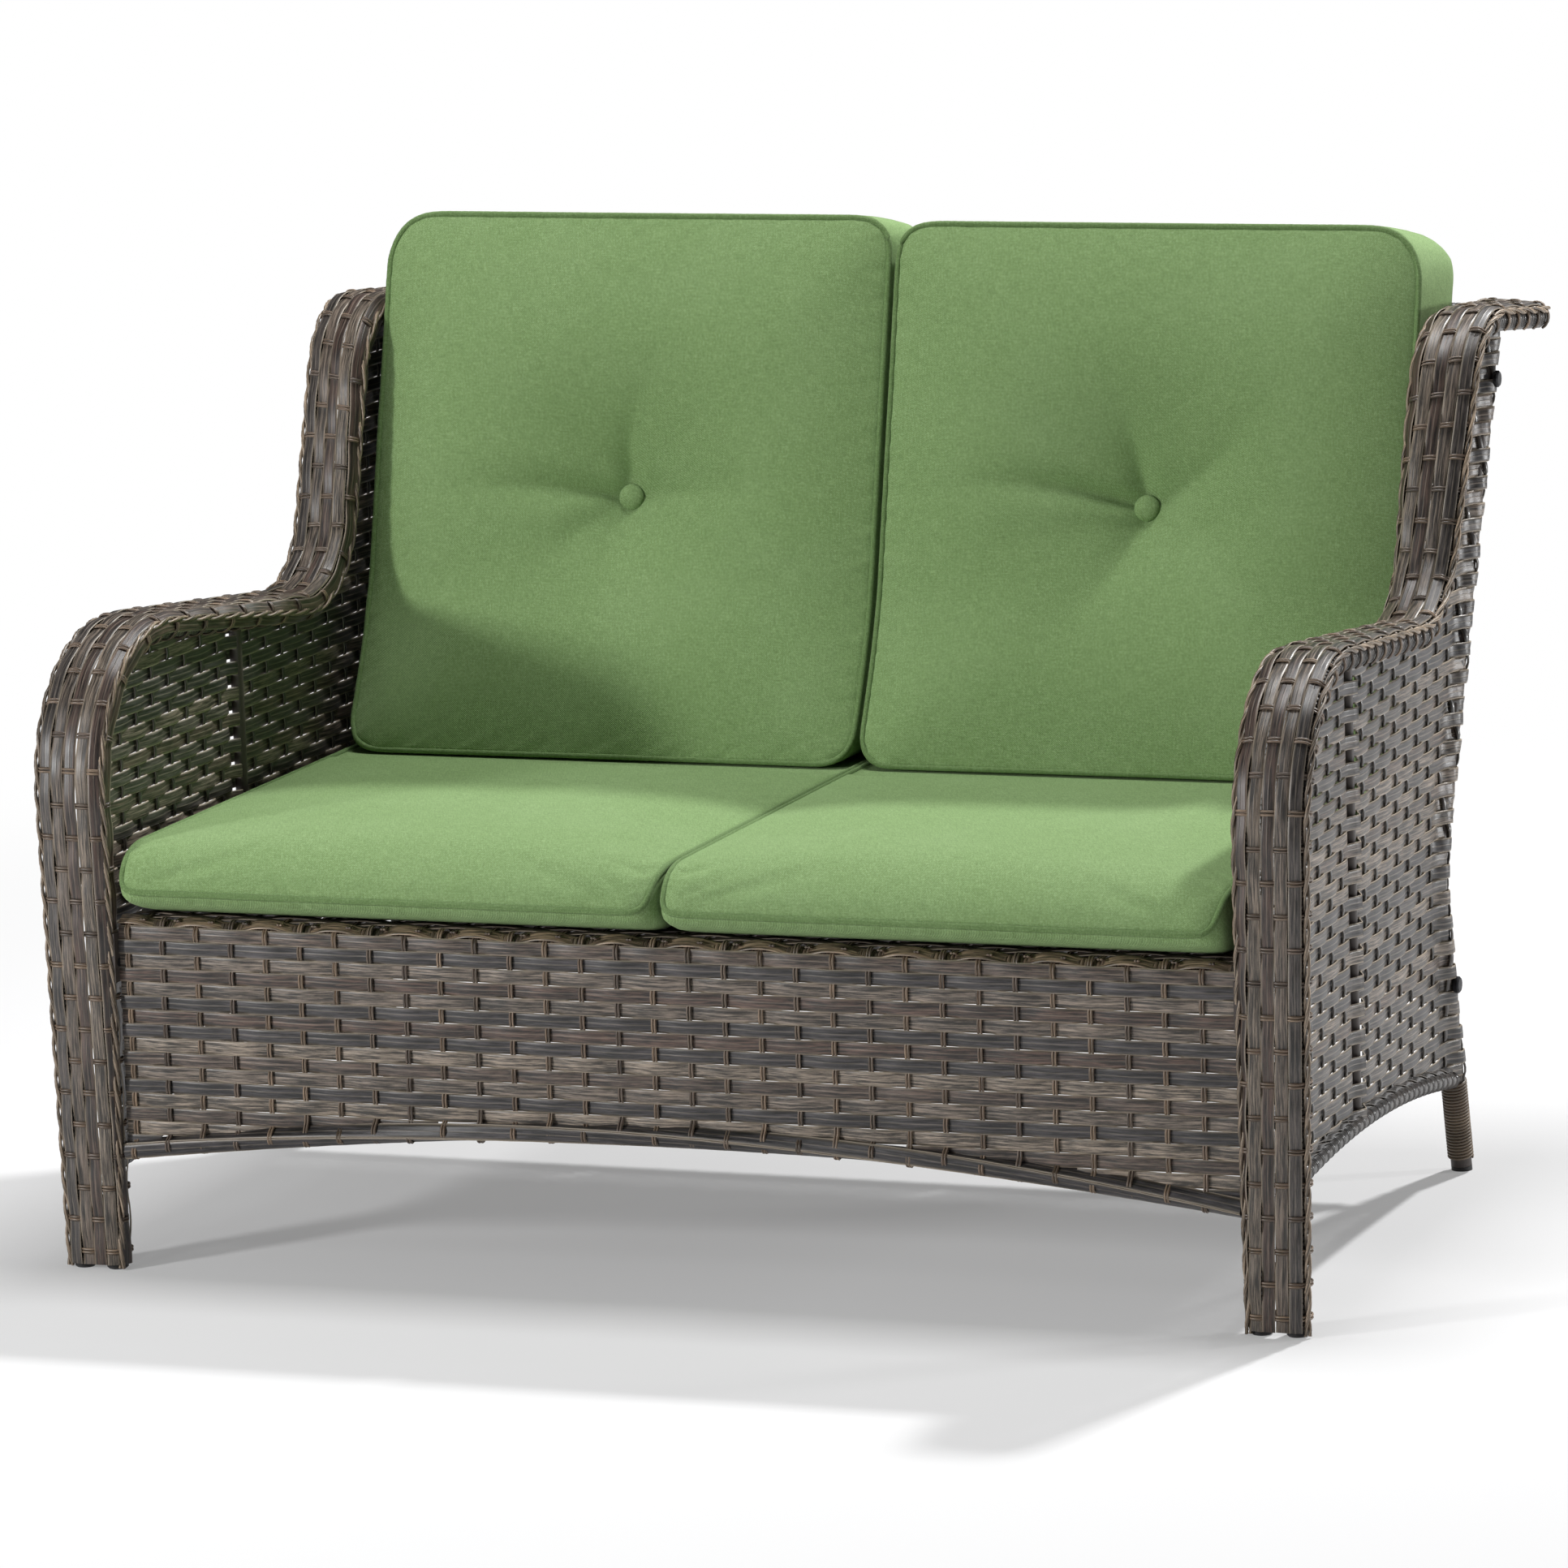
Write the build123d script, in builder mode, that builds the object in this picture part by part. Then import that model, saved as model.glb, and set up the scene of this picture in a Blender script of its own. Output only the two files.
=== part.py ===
from build123d import *
from math import cos, radians, sin, sqrt, tan
import os

# Two-seat garden sofa with a woven resin skin over a steel tube frame and loose
# cushions. Lengths are in millimetres. X runs across, +Y to the back, +Z up. The
# origin is on the floor under the middle of the bounding box. Pieces on the -X
# side are called left and those on the +X side right, as seen from the front.

# Fits
fit_gap = 0.3
bolt_play = 0.3
overrun = 5.0

# Front legs and arms: two tubes side by side from floor to curl
leg_y = -400.55
arm_tube_r = 10.0
corner_set_forward = 1.8
corner_z = 593.4
corner_bend = 135.0
valley_back = 525.4
inner_valley_z = 540.2
outer_valley_z = 543.0
valley_bend = 105.0
inner_wing_back = 621.3
inner_wing_z = 814.4
outer_wing_back = 632.5
outer_wing_z = 817.0
wing_bend = 82.0
inner_tip_back = 818.5
inner_tip_z = 800.6
outer_tip_back = 810.5
outer_tip_z = 799.0
inner_foot_x = 556.0
inner_corner_x = 555.0
inner_valley_x = 542.5
inner_wing_x = 545.0
inner_tip_x = 549.0
outer_foot_x = 589.0
outer_corner_x = 601.5
outer_valley_x = 573.0
outer_wing_x = 581.0
outer_tip_x = 594.0
rung_r = 6.0
arm_skin_thickness = 3.5

# Feet
glide_height = 6.0
glide_plug_r = 7.6
glide_plug_length = 18.0
glide_edge = 1.5
socket_end_play = 2.0

# Rear posts
post_x = 550.0
post_foot_back = 653.5
post_knee_back = 579.5
post_knee_z = 300.0
post_bend = 120.0
post_top_back = 804.5
post_top_z = 801.6
leg_wrap_thickness = 2.2
leg_wrap_start = 12.0
leg_wrap_length = 72.0

# Side panels
side_rail_r = 7.0
side_rail_front_z = 97.0
side_rail_crown_back = 311.0
side_rail_crown_z = 122.5
side_rail_rear_z = 93.0
side_upright_r = 6.0
side_upright_x = 550.5
side_upright_back = 310.5
panel_thickness = 5.0
upright_slot_width = 20.0

# Seat frame
seat_rail_r = 10.0
front_rail_back = 13.5
seat_rail_z = 318.0
seat_side_rail_x = 525.0
seat_slat_r = 8.0
seat_slat_pitch = 172.0
seat_slat_count = 5
deck_thickness = 4.0
deck_side_overhang = 0.5
apron_arch_r = 6.0
apron_end_z = 110.0
apron_rise = 41.0
bracket_thickness = 5.0
bracket_nose = 9.0
bracket_tail = 16.0
bracket_drop = 36.0
rear_bracket_half = 16.0
rear_bracket_below = 14.0

# Back frame
back_tube_r = 10.0
back_low_back = 606.5
back_low_z = 190.0
back_high_back = 778.5
back_high_z = 743.0
back_foot_below = 13.0
back_top_z = 802.0
back_mid_z = 345.0
back_stake_r = 7.0
back_stake_x = 172.0
back_spacer_length = 8.0
back_spacer_r = 9.0

# Bolts and inserts
bolt_r = 4.0
back_bolt_head_r = 8.0
back_bolt_head_height = 5.5
back_bolt_head_edge = 1.5
seat_bolt_head_r = 6.5
seat_bolt_head_height = 4.5
insert_wall = 1.6
insert_length = 13.0
insert_setback = 1.0

# Seat cushions
seat_half_gap = 2.0
seat_outer_x = 532.0
seat_front_forward = 28.0
seat_rear_back = 633.0
seat_cushion_corner = 26.0
seat_welt_z = 354.0
seat_shoulder_z = 383.0
seat_edge_z = 400.0
seat_bottom_draw = 6.0
seat_bottom_front_draw = 10.0
seat_shoulder_front_draw = 11.0
seat_edge_front_draw = 46.0
seat_edge_draw = 4.0
seat_swell_rise = 9.0
seat_swell_in = 60.0
seat_swell_rear_in = 116.0
seat_crown_rise = 15.0
seat_crown_in = 150.0
seat_crown_rear_in = 220.0
seat_swell_corner = 55.0
seat_crown_corner = 70.0
seat_core_side_in = 24.0
seat_core_front_in = 66.0
seat_core_rear_in = 16.0
seat_core_bottom_in = 6.0
seat_core_top_in = 8.0
seat_core_corner = 15.0

# Back cushions
back_half_gap = 3.0
back_outer_x = 526.0
back_cushion_top_z = 897.0
back_front_back = 599.5
back_front_ref_z = 637.0
back_front_lean = 14.5
back_cushion_standoff = 15.0
back_corner = 26.0
back_outer_corner = 62.0
back_rear_draw = 8.0
back_swell = 1.0
back_pillow_in = 45.0
back_pillow_rise = 13.0
back_crown_in = 115.0
back_crown_rise = 20.0
back_pillow_corner = 60.0
back_crown_corner = 80.0
tuft_x = 263.0
tuft_z = 641.0
tuft_reach = 62.0
tuft_depth = 20.0
button_r = 11.0
button_height = 7.0
button_edge = 2.2
back_core_in = 26.0
back_core_corner = 20.0

# Shares of a straight run of the arm tubes at which rungs sit
leg_rung_shares = (0.10, 0.36, 0.62)
arm_rung_shares = (0.32, 0.56, 0.80)
wing_rung_shares = (0.50,)
curl_rung_shares = (0.58,)
bend_step_count = 10

# Shares of the way from rear face to front seam between which the back's fill lies
back_core_shares = (0.1, 0.8)

os.makedirs("parts", exist_ok=True)


def save(piece, name):
    """Label a finished piece and write it under its own name."""
    piece.part.label = name
    export_step(piece.part, "parts/" + name + ".step")


def round_bar(start, end, radius):
    """Add a straight round bar between two points."""
    run = Vector(*end) - Vector(*start)
    with BuildSketch(Plane(origin=Vector(*start), z_dir=run)) as section:
        Circle(radius)
    extrude(section.sketch, amount=run.length)


def bent_bar(points, bends, radius):
    """Add a round bar along straight runs joined by tangent arcs."""
    first = Vector(*points[0])
    with BuildLine() as route:
        FilletPolyline(*points, radius=bends)
    with BuildSketch(Plane(origin=first, z_dir=Vector(*points[1]) - first)) as section:
        Circle(radius)
    sweep(section.sketch, path=route.line)


def between(start, end, share):
    """Point at a share of the way from one point to another."""
    return Vector(*start) + (Vector(*end) - Vector(*start)) * share


def beyond(start, end, extra):
    """Point a little past the end of a run."""
    return Vector(*end) + (Vector(*end) - Vector(*start)).normalized() * extra


def bend_stations(points, bends, steps):
    """Positions and headings at the ends of a route and in steps round its bends."""
    nodes = [Vector(*point) for point in points]
    stations = [(nodes[0], (nodes[1] - nodes[0]).normalized())]
    for before, corner, after, bend in zip(nodes, nodes[1:], nodes[2:], bends):
        heading = (corner - before).normalized()
        leaving = (after - corner).normalized()
        turn = radians(heading.get_angle(leaving))
        inward = (leaving - heading * cos(turn)).normalized()
        centre = corner - heading * bend * tan(turn / 2) + inward * bend
        for step in range(steps + 1):
            angle = turn * step / steps
            place = centre - inward * bend * cos(angle) + heading * bend * sin(angle)
            stations.append((place, heading * cos(angle) + inward * sin(angle)))
    stations.append((nodes[-1], (nodes[-1] - nodes[-2]).normalized()))
    return stations


# Routes of the two arm tubes on the right side, from the glide to the curl's end
inner_route = [
    (inner_foot_x, leg_y, 0),
    (inner_corner_x, leg_y - corner_set_forward, corner_z),
    (inner_valley_x, leg_y + valley_back, inner_valley_z),
    (inner_wing_x, leg_y + inner_wing_back, inner_wing_z),
    (inner_tip_x, leg_y + inner_tip_back, inner_tip_z),
]
outer_route = [
    (outer_foot_x, leg_y, 0),
    (outer_corner_x, leg_y - corner_set_forward, corner_z),
    (outer_valley_x, leg_y + valley_back, outer_valley_z),
    (outer_wing_x, leg_y + outer_wing_back, outer_wing_z),
    (outer_tip_x, leg_y + outer_tip_back, outer_tip_z),
]
arm_bends = [corner_bend, valley_bend, wing_bend]
inner_tube_route = inner_route[:-1] + [beyond(inner_route[-2], inner_route[-1], arm_tube_r)]
outer_tube_route = outer_route[:-1] + [beyond(outer_route[-2], outer_route[-1], arm_tube_r)]

# Plane of the straight back uprights: local x across, local y up the recline
back_rise = back_high_z - back_low_z
back_run = back_high_back - back_low_back
back_length = sqrt(back_rise**2 + back_run**2)
recline_sin = back_run / back_length
recline_cos = back_rise / back_length
back_upright_x = post_x - arm_tube_r - back_tube_r - back_spacer_length - 2 * fit_gap
back_plane = Plane(
    origin=(0, leg_y + back_low_back, back_low_z),
    x_dir=(1, 0, 0),
    z_dir=(0, -recline_cos, recline_sin),
)
back_mid_up = (back_mid_z - back_low_z) / recline_cos
back_top_up = (back_top_z - back_low_z) / recline_cos

# Plane of the right side panel: local x to the back, local y up
side_plane = Plane(
    origin=(inner_foot_x, leg_y, 0),
    x_dir=(post_x - inner_foot_x, post_foot_back, 0),
    z_dir=(post_foot_back, inner_foot_x - post_x, 0),
)
side_rail_rear_back = post_foot_back + (post_knee_back - post_foot_back) * side_rail_rear_z / post_knee_z

# Levels of the seat
deck_bottom_z = seat_rail_z + seat_rail_r + fit_gap
deck_top_z = deck_bottom_z + deck_thickness
front_rail_y = leg_y + front_rail_back
back_line_run = back_run / back_rise
rear_rail_back = (
    back_low_back
    + (seat_rail_z - back_low_z) * back_line_run
    - (back_tube_r + seat_rail_r + fit_gap) / recline_cos
)
rear_rail_y = leg_y + rear_rail_back
bracket_outer_x = inner_corner_x - arm_tube_r - fit_gap
bracket_inner_x = bracket_outer_x - bracket_thickness
front_rail_half = bracket_inner_x - fit_gap
seat_bolt_z = seat_rail_z - seat_rail_r - bracket_drop / 2
apron_rear_y = front_rail_y - seat_rail_r - fit_gap
apron_mid_y = apron_rear_y - panel_thickness / 2

# Arm frames, right side
with BuildPart() as inner_envelope:
    bent_bar(inner_tube_route, arm_bends, arm_tube_r + fit_gap)

with BuildPart() as outer_envelope:
    bent_bar(outer_tube_route, arm_bends, arm_tube_r + fit_gap)

with BuildPart() as arm_inner_tube:
    bent_bar(inner_tube_route, arm_bends, arm_tube_r)
    split(bisect_by=Plane.XY.offset(glide_height), keep=Keep.TOP)
    with BuildSketch(Plane.XY.offset(glide_height)):
        with Locations((inner_foot_x, leg_y)):
            Circle(glide_plug_r + bolt_play)
    extrude(amount=glide_plug_length + socket_end_play, mode=Mode.SUBTRACT)
    with BuildSketch(Plane.YZ.offset(inner_foot_x)):
        with Locations((leg_y, seat_bolt_z)):
            Circle(bolt_r + bolt_play)
    extrude(amount=arm_tube_r + overrun, both=True, mode=Mode.SUBTRACT)

with BuildPart() as arm_outer_tube:
    bent_bar(outer_tube_route, arm_bends, arm_tube_r)
    split(bisect_by=Plane.XY.offset(glide_height), keep=Keep.TOP)
    with BuildSketch(Plane.XY.offset(glide_height)):
        with Locations((outer_foot_x, leg_y)):
            Circle(glide_plug_r + bolt_play)
    extrude(amount=glide_plug_length + socket_end_play, mode=Mode.SUBTRACT)


def rung(run, share, radius):
    """Add a rung from the middle of one arm tube to the middle of the other."""
    near = between(inner_route[run], inner_route[run + 1], share)
    far = between(outer_route[run], outer_route[run + 1], share)
    round_bar(near, far, radius)


# Route of the right rear post
post_foot = (post_x, leg_y + post_foot_back, 0)
post_knee = (post_x, leg_y + post_knee_back, post_knee_z)
post_top = (post_x, leg_y + post_top_back, post_top_z)
post_lower_run = Vector(*post_knee) - Vector(*post_foot)
post_upper_run = Vector(*post_top) - Vector(*post_knee)
post_start = between(post_foot, post_knee, glide_height / post_knee_z)
post_route = [post_start, post_knee, post_top]

# Middle of the post's bend, where the seat frame is bolted on
post_half_turn = radians(post_lower_run.get_angle(post_upper_run)) / 2
post_bisector = (post_upper_run.normalized() - post_lower_run.normalized()).normalized()
post_hip = Vector(*post_knee) + post_bisector * post_bend * (1 / cos(post_half_turn) - 1)

with BuildPart() as post_envelope:
    bent_bar(post_route, [post_bend], arm_tube_r + fit_gap)

# Rungs, and the bar that closes the curl, coped to both tubes
with BuildPart() as arm_rungs:
    run_shares = (leg_rung_shares, arm_rung_shares, wing_rung_shares, curl_rung_shares)
    for run, shares in enumerate(run_shares):
        for share in shares:
            rung(run, share, rung_r)
    rung(len(run_shares) - 1, 1, arm_tube_r)
    add(inner_envelope.part, mode=Mode.SUBTRACT)
    add(outer_envelope.part, mode=Mode.SUBTRACT)
    add(post_envelope.part, mode=Mode.SUBTRACT)

# The woven band lies on the outer faces of both tubes as one thin skin
leg_run = Vector(*inner_route[1]) - Vector(*inner_route[0])
arm_run = Vector(*inner_route[2]) - Vector(*inner_route[1])
corner_turn = radians(leg_run.get_angle(arm_run))
arm_skin_gap = fit_gap + (corner_bend + arm_tube_r) * (1 - cos(corner_turn / bend_step_count / 2))
arm_skin_offset = arm_tube_r + arm_skin_gap + arm_skin_thickness / 2
band_start_share = glide_height / corner_z
inner_band_route = [between(inner_route[0], inner_route[1], band_start_share)] + inner_route[1:]
outer_band_route = [between(outer_route[0], outer_route[1], band_start_share)] + outer_route[1:]
with BuildPart() as arm_weave:
    inner_stations = bend_stations(inner_band_route, arm_bends, bend_step_count)
    outer_stations = bend_stations(outer_band_route, arm_bends, bend_step_count)
    for (near, near_heading), (far, far_heading) in zip(inner_stations, outer_stations):
        across = far - near
        heading = (near_heading + far_heading).normalized()
        outward = across.cross(heading).normalized()
        middle = (near + far) * 0.5 + outward * arm_skin_offset
        with BuildSketch(Plane(origin=middle, x_dir=across, z_dir=heading)):
            Rectangle(across.length + arm_tube_r * 2, arm_skin_thickness)
    loft(ruled=True)

# Rear posts, right side
post_bolt_low = (leg_y + back_low_back, back_low_z)
post_bolt_high = (leg_y + back_high_back, back_high_z)
with BuildPart() as rear_post:
    bent_bar(post_route, [post_bend], arm_tube_r)
    add(inner_envelope.part, mode=Mode.SUBTRACT)
    with BuildSketch(Plane(origin=post_start, z_dir=post_lower_run)):
        Circle(glide_plug_r + bolt_play)
    extrude(amount=glide_plug_length + socket_end_play, mode=Mode.SUBTRACT)
    with BuildSketch(Plane.YZ.offset(post_x)):
        with Locations(post_bolt_low, post_bolt_high):
            Circle(bolt_r + bolt_play)
    extrude(amount=arm_tube_r + overrun, both=True, mode=Mode.SUBTRACT)
    with BuildSketch(Plane.YZ.offset(post_x - arm_tube_r - overrun)):
        with Locations((post_hip.Y, post_hip.Z)):
            Circle(bolt_r + bolt_play)
    extrude(amount=arm_tube_r + overrun, mode=Mode.SUBTRACT)

with BuildPart() as leg_wrap:
    wrap_start = between(post_foot, post_knee, leg_wrap_start / post_knee_z)
    with BuildSketch(Plane(origin=wrap_start, z_dir=post_lower_run)):
        Circle(arm_tube_r + fit_gap + leg_wrap_thickness)
        Circle(arm_tube_r + fit_gap, mode=Mode.SUBTRACT)
    extrude(amount=leg_wrap_length)

# Side panels, right side
with BuildPart() as side_lower_rail:
    with BuildLine(side_plane) as side_rail_line:
        ThreePointArc(
            (0, side_rail_front_z),
            (side_rail_crown_back, side_rail_crown_z),
            (side_rail_rear_back, side_rail_rear_z),
        )
    rail_start = side_rail_line.line @ 0
    with BuildSketch(Plane(origin=rail_start, z_dir=side_rail_line.line % 0)):
        Circle(side_rail_r)
    sweep()
    add(inner_envelope.part, mode=Mode.SUBTRACT)
    add(post_envelope.part, mode=Mode.SUBTRACT)

with BuildPart() as side_rail_envelope:
    with BuildLine(side_plane):
        ThreePointArc(
            (0, side_rail_front_z),
            (side_rail_crown_back, side_rail_crown_z),
            (side_rail_rear_back, side_rail_rear_z),
        )
    with BuildSketch(Plane(origin=rail_start, z_dir=side_rail_line.line % 0)):
        Circle(side_rail_r + fit_gap)
    sweep()

with BuildPart() as side_upright:
    with BuildSketch(Plane.XY.offset(side_rail_crown_z)):
        with Locations((side_upright_x, leg_y + side_upright_back)):
            Circle(side_upright_r)
    upright_share = side_upright_back / (valley_back + corner_set_forward)
    upright_top_z = corner_z + (inner_valley_z - corner_z) * upright_share
    extrude(amount=upright_top_z - side_rail_crown_z)
    add(inner_envelope.part, mode=Mode.SUBTRACT)
    add(side_rail_envelope.part, mode=Mode.SUBTRACT)

panel_edge = arm_tube_r + fit_gap
panel_rail_drop = arm_tube_r - side_rail_r
with BuildPart() as side_weave:
    with BuildSketch(side_plane):
        with BuildLine():
            FilletPolyline(
                (0, side_rail_front_z - panel_rail_drop),
                (-corner_set_forward, corner_z),
                (valley_back, inner_valley_z),
                (inner_wing_back, inner_wing_z),
                (post_top_back, post_top_z),
                radius=arm_bends,
            )
            FilletPolyline(
                (post_top_back, post_top_z),
                (post_knee_back, post_knee_z),
                (side_rail_rear_back, side_rail_rear_z - panel_rail_drop),
                radius=[post_bend],
            )
            ThreePointArc(
                (side_rail_rear_back, side_rail_rear_z - panel_rail_drop),
                (side_rail_crown_back, side_rail_crown_z - panel_rail_drop),
                (0, side_rail_front_z - panel_rail_drop),
            )
        make_face()
        offset(amount=-panel_edge, kind=Kind.INTERSECTION)
    extrude(amount=panel_thickness / 2, both=True)
    with BuildSketch(Plane.XY):
        with Locations((side_upright_x, leg_y + side_upright_back)):
            Rectangle(upright_slot_width, (side_upright_r + fit_gap) * 2)
    extrude(amount=corner_z, mode=Mode.SUBTRACT)

# Feet
with BuildPart() as front_glide:
    with BuildSketch(Plane.XY):
        with Locations((inner_foot_x, leg_y), (outer_foot_x, leg_y)):
            Circle(arm_tube_r)
    extrude(amount=glide_height - fit_gap)
    chamfer(front_glide.edges().group_by(Axis.Z)[0], length=glide_edge)
    with BuildSketch(Plane.XY.offset(glide_height - fit_gap)):
        with Locations((inner_foot_x, leg_y), (outer_foot_x, leg_y)):
            Circle(glide_plug_r)
    extrude(amount=glide_plug_length)

with BuildPart() as rear_glide:
    with BuildSketch(Plane(origin=post_start, z_dir=post_lower_run)):
        Circle(glide_plug_r)
    extrude(amount=glide_plug_length - overrun)
    with BuildSketch(Plane(origin=post_start, z_dir=post_lower_run)):
        Circle(arm_tube_r)
    extrude(amount=-glide_height - overrun)
    split(bisect_by=Plane.XY, keep=Keep.TOP)
    with BuildSketch(Plane(origin=post_start, z_dir=post_lower_run)):
        Circle(arm_tube_r + overrun)
        Circle(glide_plug_r, mode=Mode.SUBTRACT)
    extrude(amount=-fit_gap, mode=Mode.SUBTRACT)

# Seat frame
with BuildPart() as seat_front_rail:
    round_bar((-front_rail_half, front_rail_y, seat_rail_z), (front_rail_half, front_rail_y, seat_rail_z), seat_rail_r)

rear_rail_half = seat_side_rail_x + seat_rail_r
with BuildPart() as seat_rear_rail:
    round_bar((-rear_rail_half, rear_rail_y, seat_rail_z), (rear_rail_half, rear_rail_y, seat_rail_z), seat_rail_r)

with BuildPart() as seat_cross_envelope:
    round_bar(
        (-front_rail_half, front_rail_y, seat_rail_z),
        (front_rail_half, front_rail_y, seat_rail_z),
        seat_rail_r + fit_gap,
    )
    round_bar(
        (-rear_rail_half - overrun, rear_rail_y, seat_rail_z),
        (rear_rail_half + overrun, rear_rail_y, seat_rail_z),
        seat_rail_r + fit_gap,
    )

with BuildPart() as seat_side_rails:
    for side in (-1, 1):
        x = side * seat_side_rail_x
        round_bar((x, front_rail_y, seat_rail_z), (x, rear_rail_y, seat_rail_z), seat_rail_r)
    add(seat_cross_envelope.part, mode=Mode.SUBTRACT)

with BuildPart() as seat_slats:
    slat_z = seat_rail_z + seat_rail_r - seat_slat_r
    slat_front_y = front_rail_y + seat_rail_r + fit_gap
    slat_rear_y = rear_rail_y - seat_rail_r - fit_gap
    for index in range(seat_slat_count):
        x = (index - (seat_slat_count - 1) / 2) * seat_slat_pitch
        round_bar((x, slat_front_y, slat_z), (x, slat_rear_y, slat_z), seat_slat_r)

with BuildPart() as deck_weave:
    deck_half = seat_side_rail_x + seat_rail_r + deck_side_overhang
    deck_front_y = apron_rear_y + fit_gap
    deck_rear_y = rear_rail_y + seat_rail_r
    with BuildSketch(Plane.XY.offset(deck_bottom_z)):
        with Locations((0, (deck_front_y + deck_rear_y) / 2)):
            Rectangle(deck_half * 2, deck_rear_y - deck_front_y)
    extrude(amount=deck_thickness)

apron_rail_half = inner_foot_x - arm_tube_r - 2 * fit_gap
with BuildPart() as apron_bottom_rail:
    with BuildLine(Plane.XZ.offset(-apron_mid_y)) as apron_line:
        ThreePointArc(
            (-inner_foot_x, apron_end_z),
            (0, apron_end_z + apron_rise),
            (inner_foot_x, apron_end_z),
        )
    with BuildSketch(Plane(origin=apron_line.line @ 0, z_dir=apron_line.line % 0)):
        Circle(apron_arch_r)
    sweep()
    split(bisect_by=Plane.YZ.offset(apron_rail_half), keep=Keep.BOTTOM)
    split(bisect_by=Plane.YZ.offset(-apron_rail_half), keep=Keep.TOP)

with BuildPart() as apron_weave:
    apron_lift = apron_arch_r + fit_gap
    with BuildSketch(Plane.XZ.offset(-apron_rear_y)):
        with BuildLine():
            apron_arch = ThreePointArc(
                (-inner_foot_x, apron_end_z + apron_lift),
                (0, apron_end_z + apron_rise + apron_lift),
                (inner_foot_x, apron_end_z + apron_lift),
            )
            Polyline(
                apron_arch @ 1,
                (inner_foot_x, deck_top_z),
                (-inner_foot_x, deck_top_z),
                apron_arch @ 0,
            )
        make_face()
        Rectangle(2 * front_rail_half, 2 * deck_top_z, mode=Mode.INTERSECT)
    extrude(amount=panel_thickness)

with BuildPart() as seat_brackets:
    bracket_low_z = seat_rail_z - seat_rail_r - bracket_drop
    bracket_front_y = leg_y - bracket_nose
    bracket_rear_y = front_rail_y + bracket_tail
    rear_plate_low_z = post_hip.Z - rear_bracket_below
    rear_plate_x = seat_side_rail_x + seat_rail_r + fit_gap
    rear_plate_thickness = post_x - arm_tube_r - fit_gap - rear_plate_x
    for side in (-1, 1):
        with BuildSketch(Plane.YZ.offset(side * (bracket_inner_x + bracket_thickness / 2))):
            with Locations(((bracket_front_y + bracket_rear_y) / 2, (bracket_low_z + seat_rail_z) / 2)):
                Rectangle(bracket_rear_y - bracket_front_y, seat_rail_z - bracket_low_z)
            with Locations((leg_y, seat_bolt_z)):
                Circle(bolt_r + bolt_play, mode=Mode.SUBTRACT)
        extrude(amount=bracket_thickness / 2, both=True)
        with BuildSketch(Plane.YZ.offset(side * (rear_plate_x + rear_plate_thickness / 2))):
            with Locations((post_hip.Y, (rear_plate_low_z + seat_rail_z) / 2)):
                Rectangle(rear_bracket_half * 2, seat_rail_z - rear_plate_low_z)
            with Locations((post_hip.Y, post_hip.Z)):
                Circle(bolt_r + bolt_play, mode=Mode.SUBTRACT)
        extrude(amount=rear_plate_thickness / 2, both=True)

# Back frame
back_inner_x = back_upright_x - back_tube_r - fit_gap
curl_share = (back_low_back + (back_top_z - back_low_z) * back_line_run - inner_wing_back) / (
    inner_tip_back - inner_wing_back
)
top_rail_half = inner_wing_x + (inner_tip_x - inner_wing_x) * curl_share - arm_tube_r - fit_gap

with BuildPart() as back_uprights:
    for side in (-1, 1):
        low = back_plane.from_local_coords(Vector(side * back_upright_x, -back_foot_below, 0))
        high = back_plane.from_local_coords(
            Vector(side * back_upright_x, back_top_up - back_tube_r - fit_gap, 0)
        )
        round_bar(low, high, back_tube_r)
        with BuildSketch(Plane.YZ.offset(side * (back_upright_x + back_tube_r + overrun))):
            with Locations(post_bolt_low, post_bolt_high):
                Circle(bolt_r + insert_wall + bolt_play)
        insert_bore = back_tube_r + overrun + insert_length / 2
        extrude(amount=-side * insert_bore, mode=Mode.SUBTRACT)


def cross_rail(up, half, radius):
    """Add a rail across the back at a height up the recline."""
    left = back_plane.from_local_coords(Vector(-half, up, 0))
    right = back_plane.from_local_coords(Vector(half, up, 0))
    round_bar(left, right, radius)


with BuildPart() as back_top_rail:
    cross_rail(back_top_up, top_rail_half, back_tube_r)

with BuildPart() as back_mid_rail:
    cross_rail(back_mid_up, back_inner_x, back_tube_r)

with BuildPart() as back_bottom_rail:
    cross_rail(0, back_inner_x, back_tube_r)

stake_low_up = back_mid_up + back_tube_r + fit_gap
stake_high_up = back_top_up - back_tube_r - fit_gap
with BuildPart() as back_stakes:
    for side in (-1, 1):
        low = back_plane.from_local_coords(Vector(side * back_stake_x, stake_low_up, 0))
        high = back_plane.from_local_coords(Vector(side * back_stake_x, stake_high_up, 0))
        round_bar(low, high, back_stake_r)

with BuildPart() as back_weave:
    stake_edge = back_stake_r + fit_gap
    bay_height = stake_high_up - stake_low_up
    side_bay_width = back_inner_x - back_stake_x - stake_edge
    low_bay_height = back_mid_up - 2 * (back_tube_r + fit_gap)
    with BuildSketch(back_plane):
        with Locations((0, (stake_low_up + stake_high_up) / 2)):
            Rectangle(2 * (back_stake_x - stake_edge), bay_height)
        for side in (-1, 1):
            with Locations((side * (back_inner_x - side_bay_width / 2), (stake_low_up + stake_high_up) / 2)):
                Rectangle(side_bay_width, bay_height)
        with Locations((0, back_mid_up / 2)):
            Rectangle(2 * back_inner_x, low_bay_height)
    extrude(amount=panel_thickness / 2, both=True)

# Hardware
post_outer_x = post_x + arm_tube_r + fit_gap
spacer_x = back_upright_x + back_tube_r + fit_gap
insert_outer_x = back_upright_x + back_tube_r - insert_setback

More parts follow.
